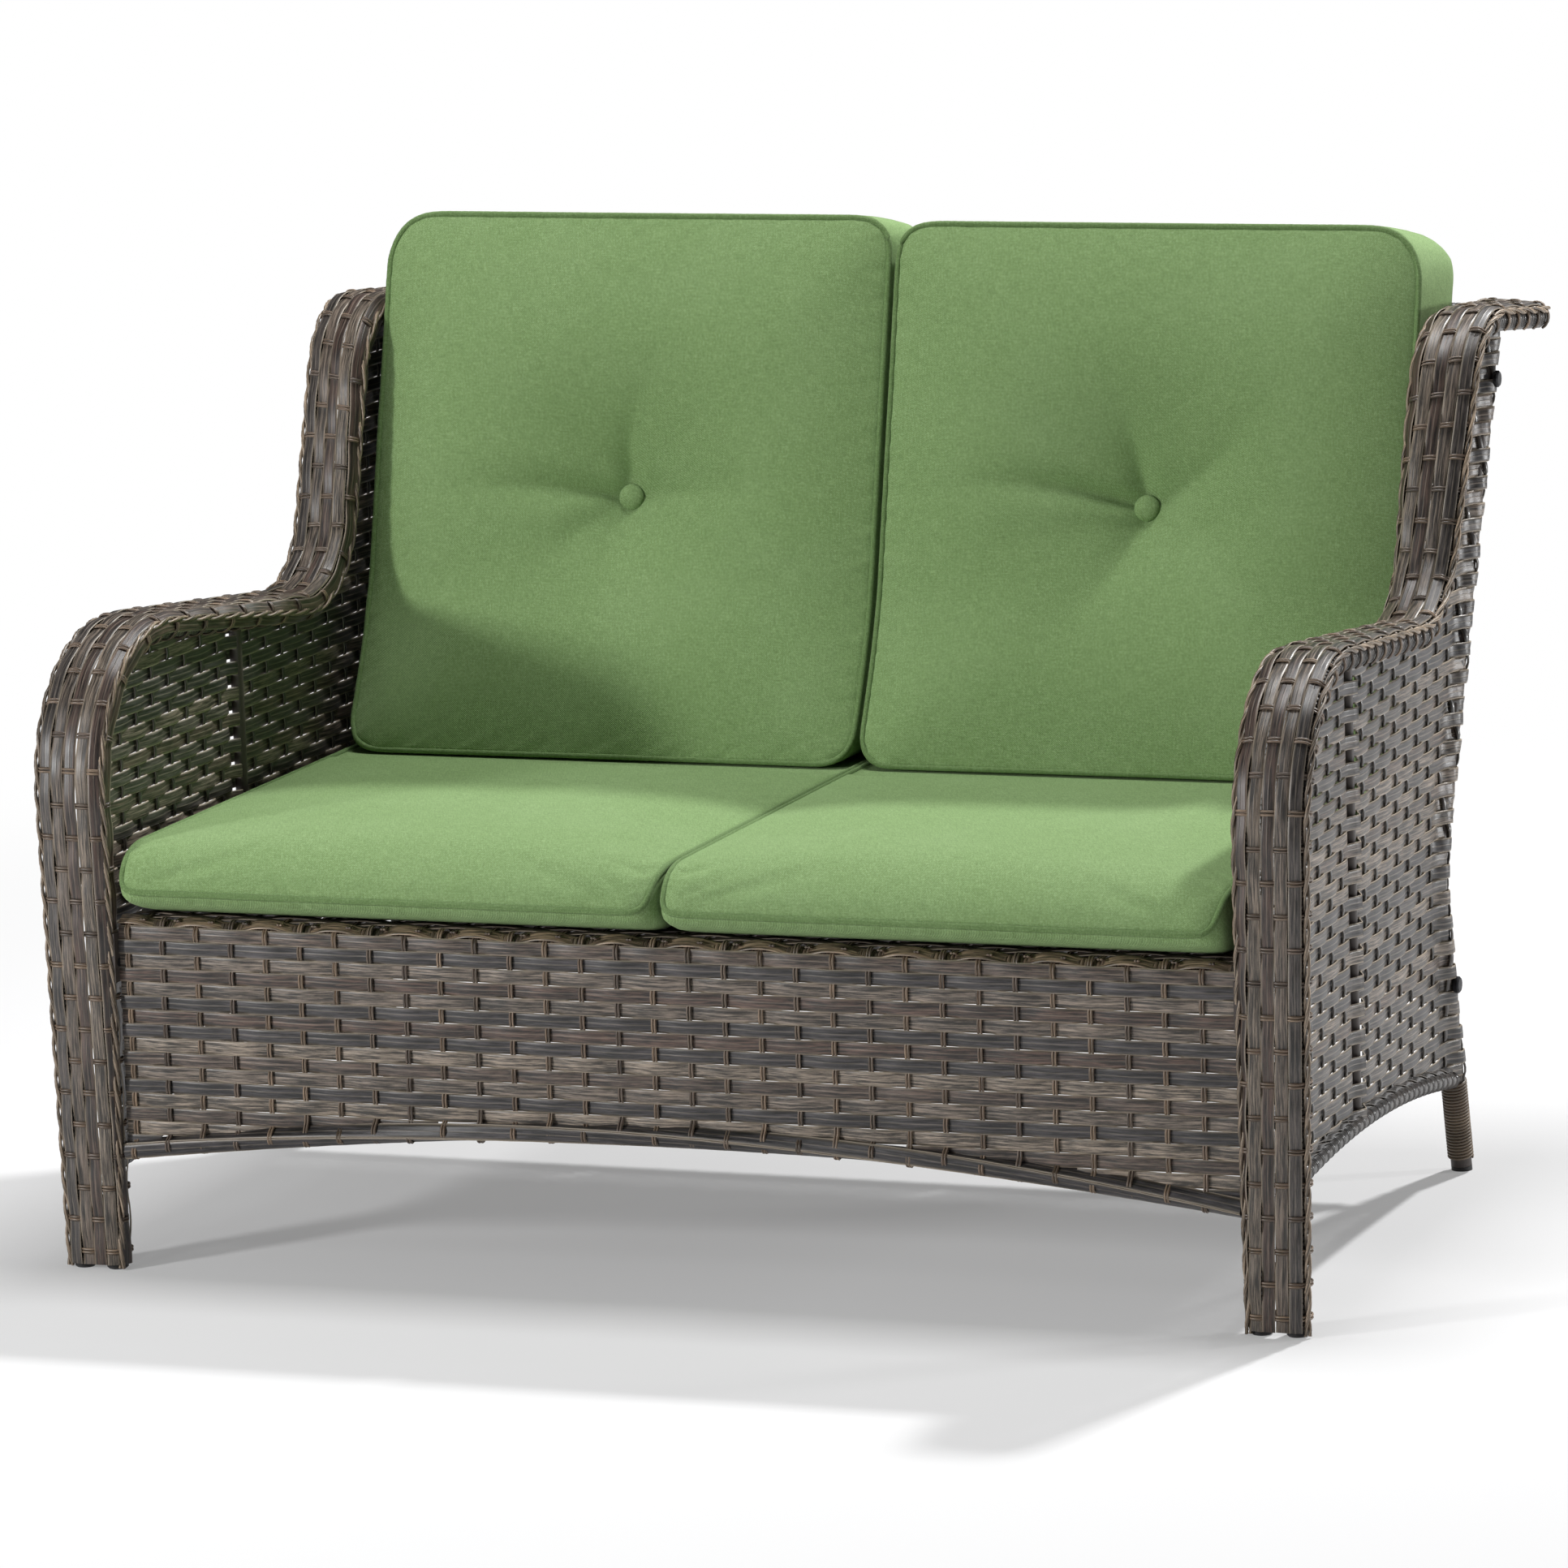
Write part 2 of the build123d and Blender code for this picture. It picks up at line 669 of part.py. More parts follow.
with BuildPart() as back_bolts:
    for side in (-1, 1):
        with BuildSketch(Plane.YZ.offset(side * post_outer_x)):
            with Locations(post_bolt_low, post_bolt_high):
                Circle(back_bolt_head_r)
        extrude(amount=side * back_bolt_head_height)
    chamfer(
        back_bolts.edges().filter_by(GeomType.CIRCLE).group_by(Axis.X)[-1]
        + back_bolts.edges().filter_by(GeomType.CIRCLE).group_by(Axis.X)[0],
        length=back_bolt_head_edge,
    )
    for side in (-1, 1):
        with BuildSketch(Plane.YZ.offset(side * post_outer_x)):
            with Locations(post_bolt_low, post_bolt_high):
                Circle(bolt_r)
        extrude(amount=-side * (post_outer_x - insert_outer_x + insert_length - insert_setback))

with BuildPart() as back_spacers:
    for side in (-1, 1):
        with BuildSketch(Plane.YZ.offset(side * spacer_x)):
            with Locations(post_bolt_low, post_bolt_high):
                Circle(back_spacer_r)
                Circle(bolt_r + bolt_play, mode=Mode.SUBTRACT)
        extrude(amount=side * back_spacer_length)

with BuildPart() as threaded_inserts:
    for side in (-1, 1):
        with BuildSketch(Plane.YZ.offset(side * insert_outer_x)):
            with Locations(post_bolt_low, post_bolt_high):
                Circle(bolt_r + insert_wall)
                Circle(bolt_r + bolt_play / 2, mode=Mode.SUBTRACT)
        extrude(amount=-side * insert_length)

front_bolt_x = inner_foot_x + arm_tube_r + fit_gap
rear_bolt_x = rear_plate_x - fit_gap
with BuildPart() as seat_bolts:
    for side in (-1, 1):
        with BuildSketch(Plane.YZ.offset(side * front_bolt_x)):
            with Locations((leg_y, seat_bolt_z)):
                Circle(seat_bolt_head_r)
        extrude(amount=side * seat_bolt_head_height)
        with BuildSketch(Plane.YZ.offset(side * front_bolt_x)):
            with Locations((leg_y, seat_bolt_z)):
                Circle(bolt_r)
        extrude(amount=-side * (front_bolt_x - bracket_inner_x))
        with BuildSketch(Plane.YZ.offset(side * rear_bolt_x)):
            with Locations((post_hip.Y, post_hip.Z)):
                Circle(seat_bolt_head_r)
        extrude(amount=-side * seat_bolt_head_height)
        with BuildSketch(Plane.YZ.offset(side * rear_bolt_x)):
            with Locations((post_hip.Y, post_hip.Z)):
                Circle(bolt_r)
        extrude(amount=side * (post_x - rear_bolt_x - bolt_play))

# Seat cushion, right side
seat_cushion_bottom_z = deck_top_z + fit_gap
seat_front_y = leg_y - seat_front_forward
seat_rear_y = leg_y + seat_rear_back


def seat_slice(z, side_in, front_in, rear_in, corner):
    """Rounded outline of the seat cushion at one height."""
    low_x = seat_half_gap + side_in
    high_x = seat_outer_x - side_in
    low_y = seat_front_y + front_in
    high_y = seat_rear_y - rear_in
    with BuildSketch(Plane.XY.offset(z)) as outline:
        with Locations(((low_x + high_x) / 2, (low_y + high_y) / 2)):
            RectangleRounded(high_x - low_x, high_y - low_y, corner)
    return outline.sketch


seat_core_low_z = seat_cushion_bottom_z + seat_core_bottom_in
seat_core_height = seat_edge_z - seat_core_top_in - seat_core_low_z
seat_edge_slice = seat_slice(
    seat_edge_z, seat_edge_draw, seat_edge_front_draw, seat_edge_draw, seat_cushion_corner
)
seat_body_slices = [
    seat_slice(seat_cushion_bottom_z, seat_bottom_draw, seat_bottom_front_draw, 0, seat_cushion_corner),
    seat_slice(seat_welt_z, 0, 0, 0, seat_cushion_corner),
    seat_slice(seat_shoulder_z, 0, seat_shoulder_front_draw, 0, seat_cushion_corner),
    seat_edge_slice,
]
seat_crown_slices = [
    seat_edge_slice,
    seat_slice(
        seat_edge_z + seat_swell_rise,
        seat_swell_in,
        seat_edge_front_draw + seat_swell_in,
        seat_swell_rear_in,
        seat_swell_corner,
    ),
    seat_slice(
        seat_edge_z + seat_crown_rise,
        seat_crown_in,
        seat_edge_front_draw + seat_crown_in,
        seat_crown_rear_in,
        seat_crown_corner,
    ),
]
seat_core_slice = seat_slice(
    seat_core_low_z, seat_core_side_in, seat_core_front_in, seat_core_rear_in, seat_core_corner
)
seat_pocket_slice = seat_slice(
    seat_core_low_z - fit_gap,
    seat_core_side_in - fit_gap,
    seat_core_front_in - fit_gap,
    seat_core_rear_in - fit_gap,
    seat_core_corner + fit_gap,
)

with BuildPart() as seat_cushion:
    loft(seat_body_slices, ruled=True)
    loft(seat_crown_slices, ruled=True)
    extrude(seat_pocket_slice, amount=seat_core_height + 2 * fit_gap, mode=Mode.SUBTRACT)

with BuildPart() as seat_core:
    extrude(seat_core_slice, amount=seat_core_height)

# Back cushion, right side
front_tan = tan(radians(back_front_lean))


def front_face_y(z):
    """Where the back cushion's front seam lies at a height."""
    return leg_y + back_front_back + (z - back_front_ref_z) * front_tan


def rear_face_y(z):
    """Where the back cushion's rear face lies at a height."""
    line = leg_y + back_low_back + (z - back_low_z) * back_line_run
    return line - back_cushion_standoff / recline_cos


# The back cushion's front seam rests on the slope at the rear of the seat cushion's top
seat_slope = seat_swell_rise / (seat_swell_rear_in - seat_edge_draw)
seat_slope_foot_y = seat_rear_y - seat_edge_draw
seam_at_datum_y = leg_y + back_front_back - back_front_ref_z * front_tan
back_cushion_bottom_z = (
    seat_edge_z + fit_gap + seat_slope * (seat_slope_foot_y - seam_at_datum_y)
) / (1 + seat_slope * front_tan)


def back_slice(depth_share, lift, inset, corner, outer_corner):
    """Outline of the back cushion at a share of the way from its rear face to its front seam."""
    low_z = back_cushion_bottom_z
    high_z = back_cushion_top_z
    low_y = rear_face_y(low_z) + (front_face_y(low_z) - rear_face_y(low_z)) * depth_share
    high_y = rear_face_y(high_z) + (front_face_y(high_z) - rear_face_y(high_z)) * depth_share
    slope = Vector(0, high_y - low_y, high_z - low_z)
    face = Plane(
        origin=Vector((back_half_gap + back_outer_x) / 2, low_y, low_z),
        x_dir=Vector(1, 0, 0),
        z_dir=Vector(0, -slope.Z, slope.Y),
    ).offset(lift)
    with BuildSketch(face) as slice_sketch:
        with Locations((0, slope.length / 2)):
            Rectangle(back_outer_x - back_half_gap - 2 * inset, slope.length - 2 * inset)
        top_vertices = slice_sketch.vertices().group_by(Axis.Y)[-1].sort_by(Axis.X)
        low_vertices = slice_sketch.vertices().group_by(Axis.Y)[0]
        fillet(top_vertices[-1], radius=outer_corner)
        top_vertices = slice_sketch.vertices().group_by(Axis.Y)[-1].sort_by(Axis.X)
        fillet([top_vertices[0]] + list(low_vertices), radius=corner)
    return slice_sketch.sketch


front_slope = Plane(
    origin=Vector(tuft_x, front_face_y(tuft_z), tuft_z),
    x_dir=Vector(1, 0, 0),
    z_dir=Vector(0, -cos(radians(back_front_lean)), sin(radians(back_front_lean))),
)
tuft_ball_r = (tuft_reach**2 + tuft_depth**2) / (2 * tuft_depth)
tuft_plane = front_slope.offset(back_crown_rise - tuft_depth)
button_seat = tuft_ball_r - sqrt(tuft_ball_r**2 - button_r**2) + fit_gap
back_seam_slice = back_slice(1, 0, 0, back_corner, back_outer_corner)
back_body_slices = [
    back_slice(0, 0, back_rear_draw, back_corner, back_outer_corner),
    back_slice(1 / 2, 0, -back_swell, back_corner, back_outer_corner),
    back_seam_slice,
]
back_crown_slices = [
    back_seam_slice,
    back_slice(1, back_pillow_rise, back_pillow_in, back_pillow_corner, back_pillow_corner),
    back_slice(1, back_crown_rise, back_crown_in, back_crown_corner, back_crown_corner),
]

back_fill_slices = [
    back_slice(share, 0, back_core_in, back_core_corner, back_core_corner) for share in back_core_shares
]
back_pocket_slices = [
    back_slice(share, lift, back_core_in - fit_gap, back_core_corner + fit_gap, back_core_corner + fit_gap)
    for share, lift in zip(back_core_shares, (-fit_gap, fit_gap))
]

with BuildPart() as back_cushion:
    loft(back_body_slices, ruled=True)
    loft(back_crown_slices, ruled=True)
    with Locations(tuft_plane.offset(tuft_ball_r).location):
        Sphere(tuft_ball_r, mode=Mode.SUBTRACT)
    loft(back_pocket_slices, mode=Mode.SUBTRACT)

with BuildPart() as back_fill:
    loft(back_fill_slices)

with BuildPart() as back_button:
    with BuildSketch(tuft_plane.offset(button_seat)):
        Circle(button_r)
    extrude(amount=button_height)
    chamfer(back_button.edges().filter_by(GeomType.CIRCLE).sort_by(Axis.Y)[0], length=button_edge)

# Writing
one_of_a_kind = {
    "seat_front_rail": seat_front_rail,
    "seat_rear_rail": seat_rear_rail,
    "seat_side_rails": seat_side_rails,
    "seat_slats": seat_slats,
    "deck_weave": deck_weave,
    "apron_bottom_rail": apron_bottom_rail,
    "apron_weave": apron_weave,
    "seat_brackets": seat_brackets,
    "back_uprights": back_uprights,
    "back_top_rail": back_top_rail,
    "back_mid_rail": back_mid_rail,
    "back_bottom_rail": back_bottom_rail,
    "back_stakes": back_stakes,
    "back_weave": back_weave,
    "back_bolts": back_bolts,
    "back_spacers": back_spacers,
    "threaded_inserts": threaded_inserts,
    "seat_bolts": seat_bolts,
}
handed = {
    "arm_inner_tube": arm_inner_tube,
    "arm_outer_tube": arm_outer_tube,
    "arm_rungs": arm_rungs,
    "arm_weave": arm_weave,
    "rear_post": rear_post,
    "leg_wrap": leg_wrap,
    "side_lower_rail": side_lower_rail,
    "side_upright": side_upright,
    "side_weave": side_weave,
    "front_glides": front_glide,
    "rear_glide": rear_glide,
    "seat_cushion": seat_cushion,
    "seat_core": seat_core,
    "back_cushion": back_cushion,
    "back_fill": back_fill,
    "back_button": back_button,
}
for name, piece in one_of_a_kind.items():
    save(piece, name)
for name, piece in handed.items():
    save(piece, name + "_right")
    with BuildPart() as twin:
        mirror(piece.part, about=Plane.YZ)
    save(twin, name + "_left")
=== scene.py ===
import math

import bpy
import numpy as np
from mathutils import Matrix, Vector
from mathutils.bvhtree import BVHTree


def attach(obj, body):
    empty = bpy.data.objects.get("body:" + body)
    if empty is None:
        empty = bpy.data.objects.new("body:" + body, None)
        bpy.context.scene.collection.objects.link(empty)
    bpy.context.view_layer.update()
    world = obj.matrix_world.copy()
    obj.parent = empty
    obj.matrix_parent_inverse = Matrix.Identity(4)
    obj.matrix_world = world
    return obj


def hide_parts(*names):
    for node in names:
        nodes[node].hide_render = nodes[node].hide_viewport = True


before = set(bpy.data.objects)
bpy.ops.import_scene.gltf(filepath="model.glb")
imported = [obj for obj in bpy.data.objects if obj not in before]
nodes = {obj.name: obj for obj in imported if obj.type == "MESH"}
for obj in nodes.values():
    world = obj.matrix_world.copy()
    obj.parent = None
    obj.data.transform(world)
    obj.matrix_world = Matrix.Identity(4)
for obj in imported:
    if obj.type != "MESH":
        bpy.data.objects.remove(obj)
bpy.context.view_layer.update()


def put_in_scene(name, data):
    """A new object in the scene."""
    holder = bpy.data.objects.new(name, data)
    bpy.context.scene.collection.objects.link(holder)
    return holder


# Camera and light

def look_from(azimuth, elevation, roll, target, distance):
    """Place of a camera that looks at a target, turned by a small roll."""
    a, e, r = (math.radians(angle) for angle in (azimuth, elevation, roll))
    back = Vector((math.sin(a) * math.cos(e), -math.cos(a) * math.cos(e), math.sin(e)))
    right = Vector((math.cos(a), math.sin(a), 0))
    above = back.cross(right)
    x_axis = math.cos(r) * right + math.sin(r) * above
    y_axis = -math.sin(r) * right + math.cos(r) * above
    place = Matrix((x_axis, y_axis, back)).transposed().to_4x4()
    place.translation = Vector(target) + back * distance
    return place


def area_lamp(name, heading, distance, size, power, aim):
    """A soft square lamp that stands off in a direction and shines at a point."""
    lamp = bpy.data.lights.new(name, "AREA")
    lamp.shape, lamp.size, lamp.energy = "SQUARE", size, power
    holder = put_in_scene(name, lamp)
    holder.location = Vector(aim) + Vector(heading).normalized() * distance
    holder.rotation_euler = (Vector(aim) - holder.location).to_track_quat("-Z", "Y").to_euler()


camera = bpy.data.cameras.new("camera")
camera.sensor_width, camera.lens, camera.clip_end = 36, 193.49, 60
camera_holder = put_in_scene("camera", camera)
camera_holder.matrix_world = look_from(20.994, 10.316, -1.95, (-0.017, -0.03805, 0.408), 7.895)
bpy.context.scene.camera = camera_holder
bpy.context.scene.view_settings.view_transform = "Standard"

area_lamp("low_left_key", (-0.645, -0.765, 0.209), 4.2, 0.42, 87, (0, 0, 0.5))
area_lamp("front_left", (-0.296, -0.743, 0.60), 6.0, 1.0, 18, (0, 0, 0.35))
area_lamp("rear_right", (0.40, 0.80, 1.05), 6.0, 0.36, 310, (0, 0, 0.35))
area_lamp("overhead", (0.0, 0.06, 1.0), 3.5, 1.3, 86, (0, -0.05, 0.5))
area_lamp("low_right", (0.85, 0.50, 0.10), 4.0, 0.45, 66, (0.6, 0, 0.42))


# Node trees

class Value:
    """What a node gives; sums, products, shares and powers of it add maths nodes."""

    def __init__(self, socket):
        self.socket = socket

    def __abs__(self):
        return maths("ABSOLUTE", self)


for sign, operation in {
    "add": "ADD", "sub": "SUBTRACT", "mul": "MULTIPLY", "truediv": "DIVIDE", "pow": "POWER",
}.items():
    setattr(Value, f"__{sign}__", lambda self, other, does=operation: maths(does, self, other))
    setattr(Value, f"__r{sign}__", lambda self, other, does=operation: maths(does, other, self))


def feed(socket, value):
    """Join another node's result to a socket, or set the socket to a plain value."""
    if isinstance(value, Value):
        socket.id_data.links.new(value.socket, socket)
    else:
        socket.default_value = value


def used(sockets, key):
    """The socket in use by that name or number; nodes keep idle ones for other kinds of data."""
    live = [socket for socket in sockets if socket.enabled]
    return live[key] if isinstance(key, int) else next(socket for socket in live if socket.name == key)


def add_node(tree, kind, inputs=None, **settings):
    """Add a node, set its properties, and set or join its inputs by name or number."""
    node = tree.nodes.new(kind)
    for key, value in settings.items():
        setattr(node, key, value)
    for key, value in (inputs or {}).items():
        feed(used(node.inputs, key), value)
    return node


def node_value(tree, kind, inputs=None, output=0, **settings):
    """One result of a new node."""
    return Value(used(add_node(tree, kind, inputs, **settings).outputs, output))


def maths(operation, *values, clamp=False):
    """The result of a maths node, or of a vector maths node where the first node result is a place or colour."""
    first = next(value.socket for value in values if isinstance(value, Value))
    kind = "ShaderNodeVectorMath" if first.type in ("VECTOR", "RGBA") else "ShaderNodeMath"
    settings = {"use_clamp": True} if clamp else {}
    return node_value(first.id_data, kind, dict(enumerate(values)), operation=operation, **settings)


def vector_of(tree, x, y, z=0.0):
    """A vector from three numbers."""
    return node_value(tree, "ShaderNodeCombineXYZ", {"X": x, "Y": y, "Z": z})


def parts_of(vector):
    """The three numbers of a vector."""
    return [Value(part) for part in add_node(vector.socket.id_data, "ShaderNodeSeparateXYZ", {0: vector}).outputs]


def noise(vector, scale, detail=2.0, roughness=0.5):
    """A noise value over a place."""
    inputs = {"Vector": vector, "Scale": scale, "Detail": detail, "Roughness": roughness}
    return node_value(vector.socket.id_data, "ShaderNodeTexNoise", inputs, "Fac")


def node_group(name, kind, inputs, outputs):
    """An empty node tree; each input and output has its plain value or the word for its kind."""
    tree = bpy.data.node_groups.new(name, kind)
    kinds = {int: "Int", float: "Float", tuple: "Color"}
    for side, entries in (("INPUT", inputs), ("OUTPUT", outputs)):
        for entry, value in entries.items():
            sort = value if isinstance(value, str) else kinds[type(value)]
            socket = tree.interface.new_socket(entry, in_out=side, socket_type="NodeSocket" + sort)
            if sort != value:
                socket.default_value = value
    given = {socket.name: Value(socket) for socket in tree.nodes.new("NodeGroupInput").outputs if socket.name}
    return tree, given, tree.nodes.new("NodeGroupOutput").inputs


def read_attribute(tree, name, kind="FLOAT"):
    """A named attribute inside a geometry tree."""
    return node_value(tree, "GeometryNodeInputNamedAttribute", {"Name": name}, "Attribute", data_type=kind)


def keep_attributes(geometry, **values):
    """Store named values on a geometry's points."""
    for name, value in values.items():
        kind = "FLOAT_VECTOR" if value.socket.type == "VECTOR" else "FLOAT"
        inputs = {"Geometry": geometry, "Name": name, "Value": value}
        tree = value.socket.id_data
        geometry = node_value(tree, "GeometryNodeStoreNamedAttribute", inputs, data_type=kind, domain="POINT")
    return geometry


# Mesh objects

def mesh_object(name, points, faces=(), edges=()):
    """A mesh object made from plain lists."""
    mesh = bpy.data.meshes.new(name)
    mesh.from_pydata([tuple(p) for p in points], [tuple(e) for e in edges], [tuple(f) for f in faces])
    mesh.update()
    return put_in_scene(name, mesh)


def evaluated_copy(obj, name):
    """A plain object of the mesh that the object's modifiers give; the object goes."""
    bpy.context.view_layer.update()
    graph = bpy.context.evaluated_depsgraph_get()
    mesh = bpy.data.meshes.new_from_object(obj.evaluated_get(graph), depsgraph=graph)
    bpy.data.objects.remove(obj)
    mesh.name = name
    return put_in_scene(name, mesh)


def twin(piece, name):
    """A second object with its own mesh."""
    copy = piece.copy()
    copy.data = piece.data.copy()
    copy.name = copy.data.name = name
    bpy.context.scene.collection.objects.link(copy)
    return copy


def swap_sides(piece):
    """Turn a piece into its mirror image across the middle, with its faces still outwards."""
    piece.data.transform(Matrix.Scale(-1, 4, (1, 0, 0)))
    piece.data.flip_normals()
    return piece


def joined(name, pieces):
    """Several mesh objects as one."""
    bpy.ops.object.select_all(action="DESELECT")
    for piece in pieces:
        piece.select_set(True)
    bpy.context.view_layer.objects.active = pieces[0]
    bpy.ops.object.join()
    pieces[0].name = pieces[0].data.name = name
    return pieces[0]


def declare(piece, body, slot, *replaced):
    """Say which body a piece rides on and which CAD nodes it stands for; the slot argument is not used."""
    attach(piece, body)
    if replaced:
        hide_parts(*replaced)


def grow(guide, tree, name, **sizes):
    """Run a geometry tree on a guide object and keep the result as a plain mesh object."""
    modifier = guide.modifiers.new("weave", "NODES")
    modifier.node_group = tree
    identifiers = {item.name: item.identifier for item in tree.interface.items_tree if item.in_out == "INPUT"}
    for key, value in sizes.items():
        modifier[identifiers[key.replace("_", " ").title()]] = value
    return evaluated_copy(guide, name)


# Threads of the weave

thread_sizes = {"Width": 0.012, "Thickness": 0.0014, "Corners": 8, "Flatness": 0.5, "Seed": 1, "Material": "Material"}


def squared(value, power):
    """A value in -1..1 pushed outwards, so that a circle becomes a flat strand."""
    return maths("SIGN", value) * abs(value) ** power


def finish_threads(tree, lines, given, result):
    """Sweep the thread's section along the lines, and hand over plain, smooth, painted threads."""
    ring = node_value(tree, "GeometryNodeCurvePrimitiveCircle", {"Resolution": given["Corners"], "Radius": 1.0})
    turned = node_value(tree, "GeometryNodeTransform", {"Geometry": ring, "Rotation": (0, 0, math.pi / 8)})
    x, y, _ = parts_of(node_value(tree, "GeometryNodeInputPosition"))
    kept = keep_attributes(turned, across=squared(y, given["Flatness"]))
    thick = squared(x, given["Flatness"]) * (given["Thickness"] * 0.5)
    place = vector_of(tree, thick, read_attribute(tree, "across") * (given["Width"] * 0.5))
    section = node_value(tree, "GeometryNodeSetPosition", {"Geometry": kept, "Position": place})
    facing = read_attribute(tree, "facing", "FLOAT_VECTOR")
    free = node_value(tree, "GeometryNodeSetCurveNormal", {"Curve": lines, "Normal": facing}, mode="FREE")
    swept = node_value(tree, "GeometryNodeCurveToMesh", {"Curve": free, "Profile Curve": section, "Fill Caps": True})
    smooth = node_value(tree, "GeometryNodeSetShadeSmooth", {"Geometry": swept})
    real = node_value(tree, "GeometryNodeRealizeInstances", {"Geometry": smooth})
    painted = node_value(tree, "GeometryNodeSetMaterial", {"Geometry": real, "Material": given["Material"]})
    feed(result["Geometry"], painted)
    return tree


def woven_threads_tree():
    """Parallel threads over a guide surface that pass over and under the threads that cross them."""
    tree, given, result = node_group("woven_threads", "GeometryNodeTree", {
        "Geometry": "Geometry", "Threads": 8, "Ply": 1, "Samples": 64, "Start": 0.0, "Run": 1.0,
        "First": 0.0, "Pitch": 0.013, "Twin Gap": 0.0, "Upright": 0.0,
        "Cross First": 0.0, "Cross Pitch": 0.035, "Crossings": 10.0,
        "Lift": 0.001, "Snap": 1.0, "Rise": 0.0, "Wander": 0.0,
        "Post Place": 0.0, "Post Reach": 0.0, "Post Width": 0.010, **thread_sizes,
    }, {"Geometry": "Geometry"})
    count = given["Threads"] * given["Ply"]
    spread = count - 1.0
    grid = node_value(tree, "GeometryNodeMeshGrid", {
        "Size X": given["Run"], "Size Y": spread, "Vertices X": given["Samples"], "Vertices Y": count,
    })
    ends = add_node(tree, "GeometryNodeInputMeshEdgeVertices").outputs
    step = parts_of(Value(ends["Position 1"]) - Value(ends["Position 2"]))[1]
    loose = node_value(tree, "GeometryNodeDeleteGeometry", {
        "Geometry": grid, "Selection": maths("GREATER_THAN", abs(step), 0.5),
    }, domain="EDGE", mode="EDGE_FACE")
    x, y, _ = parts_of(node_value(tree, "GeometryNodeInputPosition"))
    kept = keep_attributes(loose, along=x + given["Run"] * 0.5, thread=maths("ROUND", y + spread * 0.5))

    along, number = read_attribute(tree, "along"), read_attribute(tree, "thread")
    group = maths("FLOOR", (number + 0.01) / given["Ply"])
    member = number - group * given["Ply"]
    side_step = given["Twin Gap"] * (member - (given["Ply"] - 1.0) * 0.5)
    unsteady = noise(vector_of(tree, along * 7.0, group * 3.17, given["Seed"]), 1.0, 1.0)
    place = given["First"] + group * given["Pitch"] + (side_step + (unsteady - 0.5) * given["Wander"])
    travel = along + given["Start"]
    spot = node_value(tree, "ShaderNodeMix", {
        0: given["Upright"], 1: vector_of(tree, travel, place), 2: vector_of(tree, place, travel),
    }, data_type="VECTOR")

    crossing = (travel - given["Cross First"]) / given["Cross Pitch"]
    wave = maths("COSINE", (crossing + group) * math.pi) * given["Snap"]
    wave = wave / maths("SQRT", 1.0 + wave * wave)
    middle = (given["Crossings"] - 1.0) * 0.5
    inside = maths("LESS_THAN", abs(crossing - middle), middle + 0.6)
    post_off = (abs(travel) - given["Post Place"]) / given["Post Width"]
    swing = given["Lift"] + given["Post Reach"] * maths("EXPONENT", post_off * post_off * -1.0)
    height = given["Rise"] + swing * (wave * inside)

    guide = keep_attributes(given["Geometry"], out=node_value(tree, "GeometryNodeInputNormal"))

    def sampled(value):
        """The outputs of a node that reads the guide where the thread runs."""
        return add_node(tree, "GeometryNodeSampleUVSurface", {
            "Mesh": guide, "Value": value, "UV Map": read_attribute(tree, "cloth", "FLOAT_VECTOR"), "Sample UV": spot,
        }, data_type="FLOAT_VECTOR").outputs

    ground = sampled(node_value(tree, "GeometryNodeInputPosition"))
    upward = sampled(read_attribute(tree, "out", "FLOAT_VECTOR"))
    facing = maths("NORMALIZE", Value(used(upward, "Value")))
    tone = node_value(tree, "FunctionNodeRandomValue", {"ID": group, "Seed": given["Seed"]}, data_type="FLOAT")
    kept = keep_attributes(kept, facing=facing, on_cloth=Value(ground["Is Valid"]), tone=tone)
    place = Value(used(ground, "Value")) + maths("SCALE", facing, height)
    placed = node_value(tree, "GeometryNodeSetPosition", {"Geometry": kept, "Position": place})
    off = maths("LESS_THAN", read_attribute(tree, "on_cloth"), 0.5)
    trimmed = node_value(tree, "GeometryNodeDeleteGeometry", {"Geometry": placed, "Selection": off}, domain="POINT")
    return finish_threads(tree, node_value(tree, "GeometryNodeMeshToCurve", {"Mesh": trimmed}), given, result)


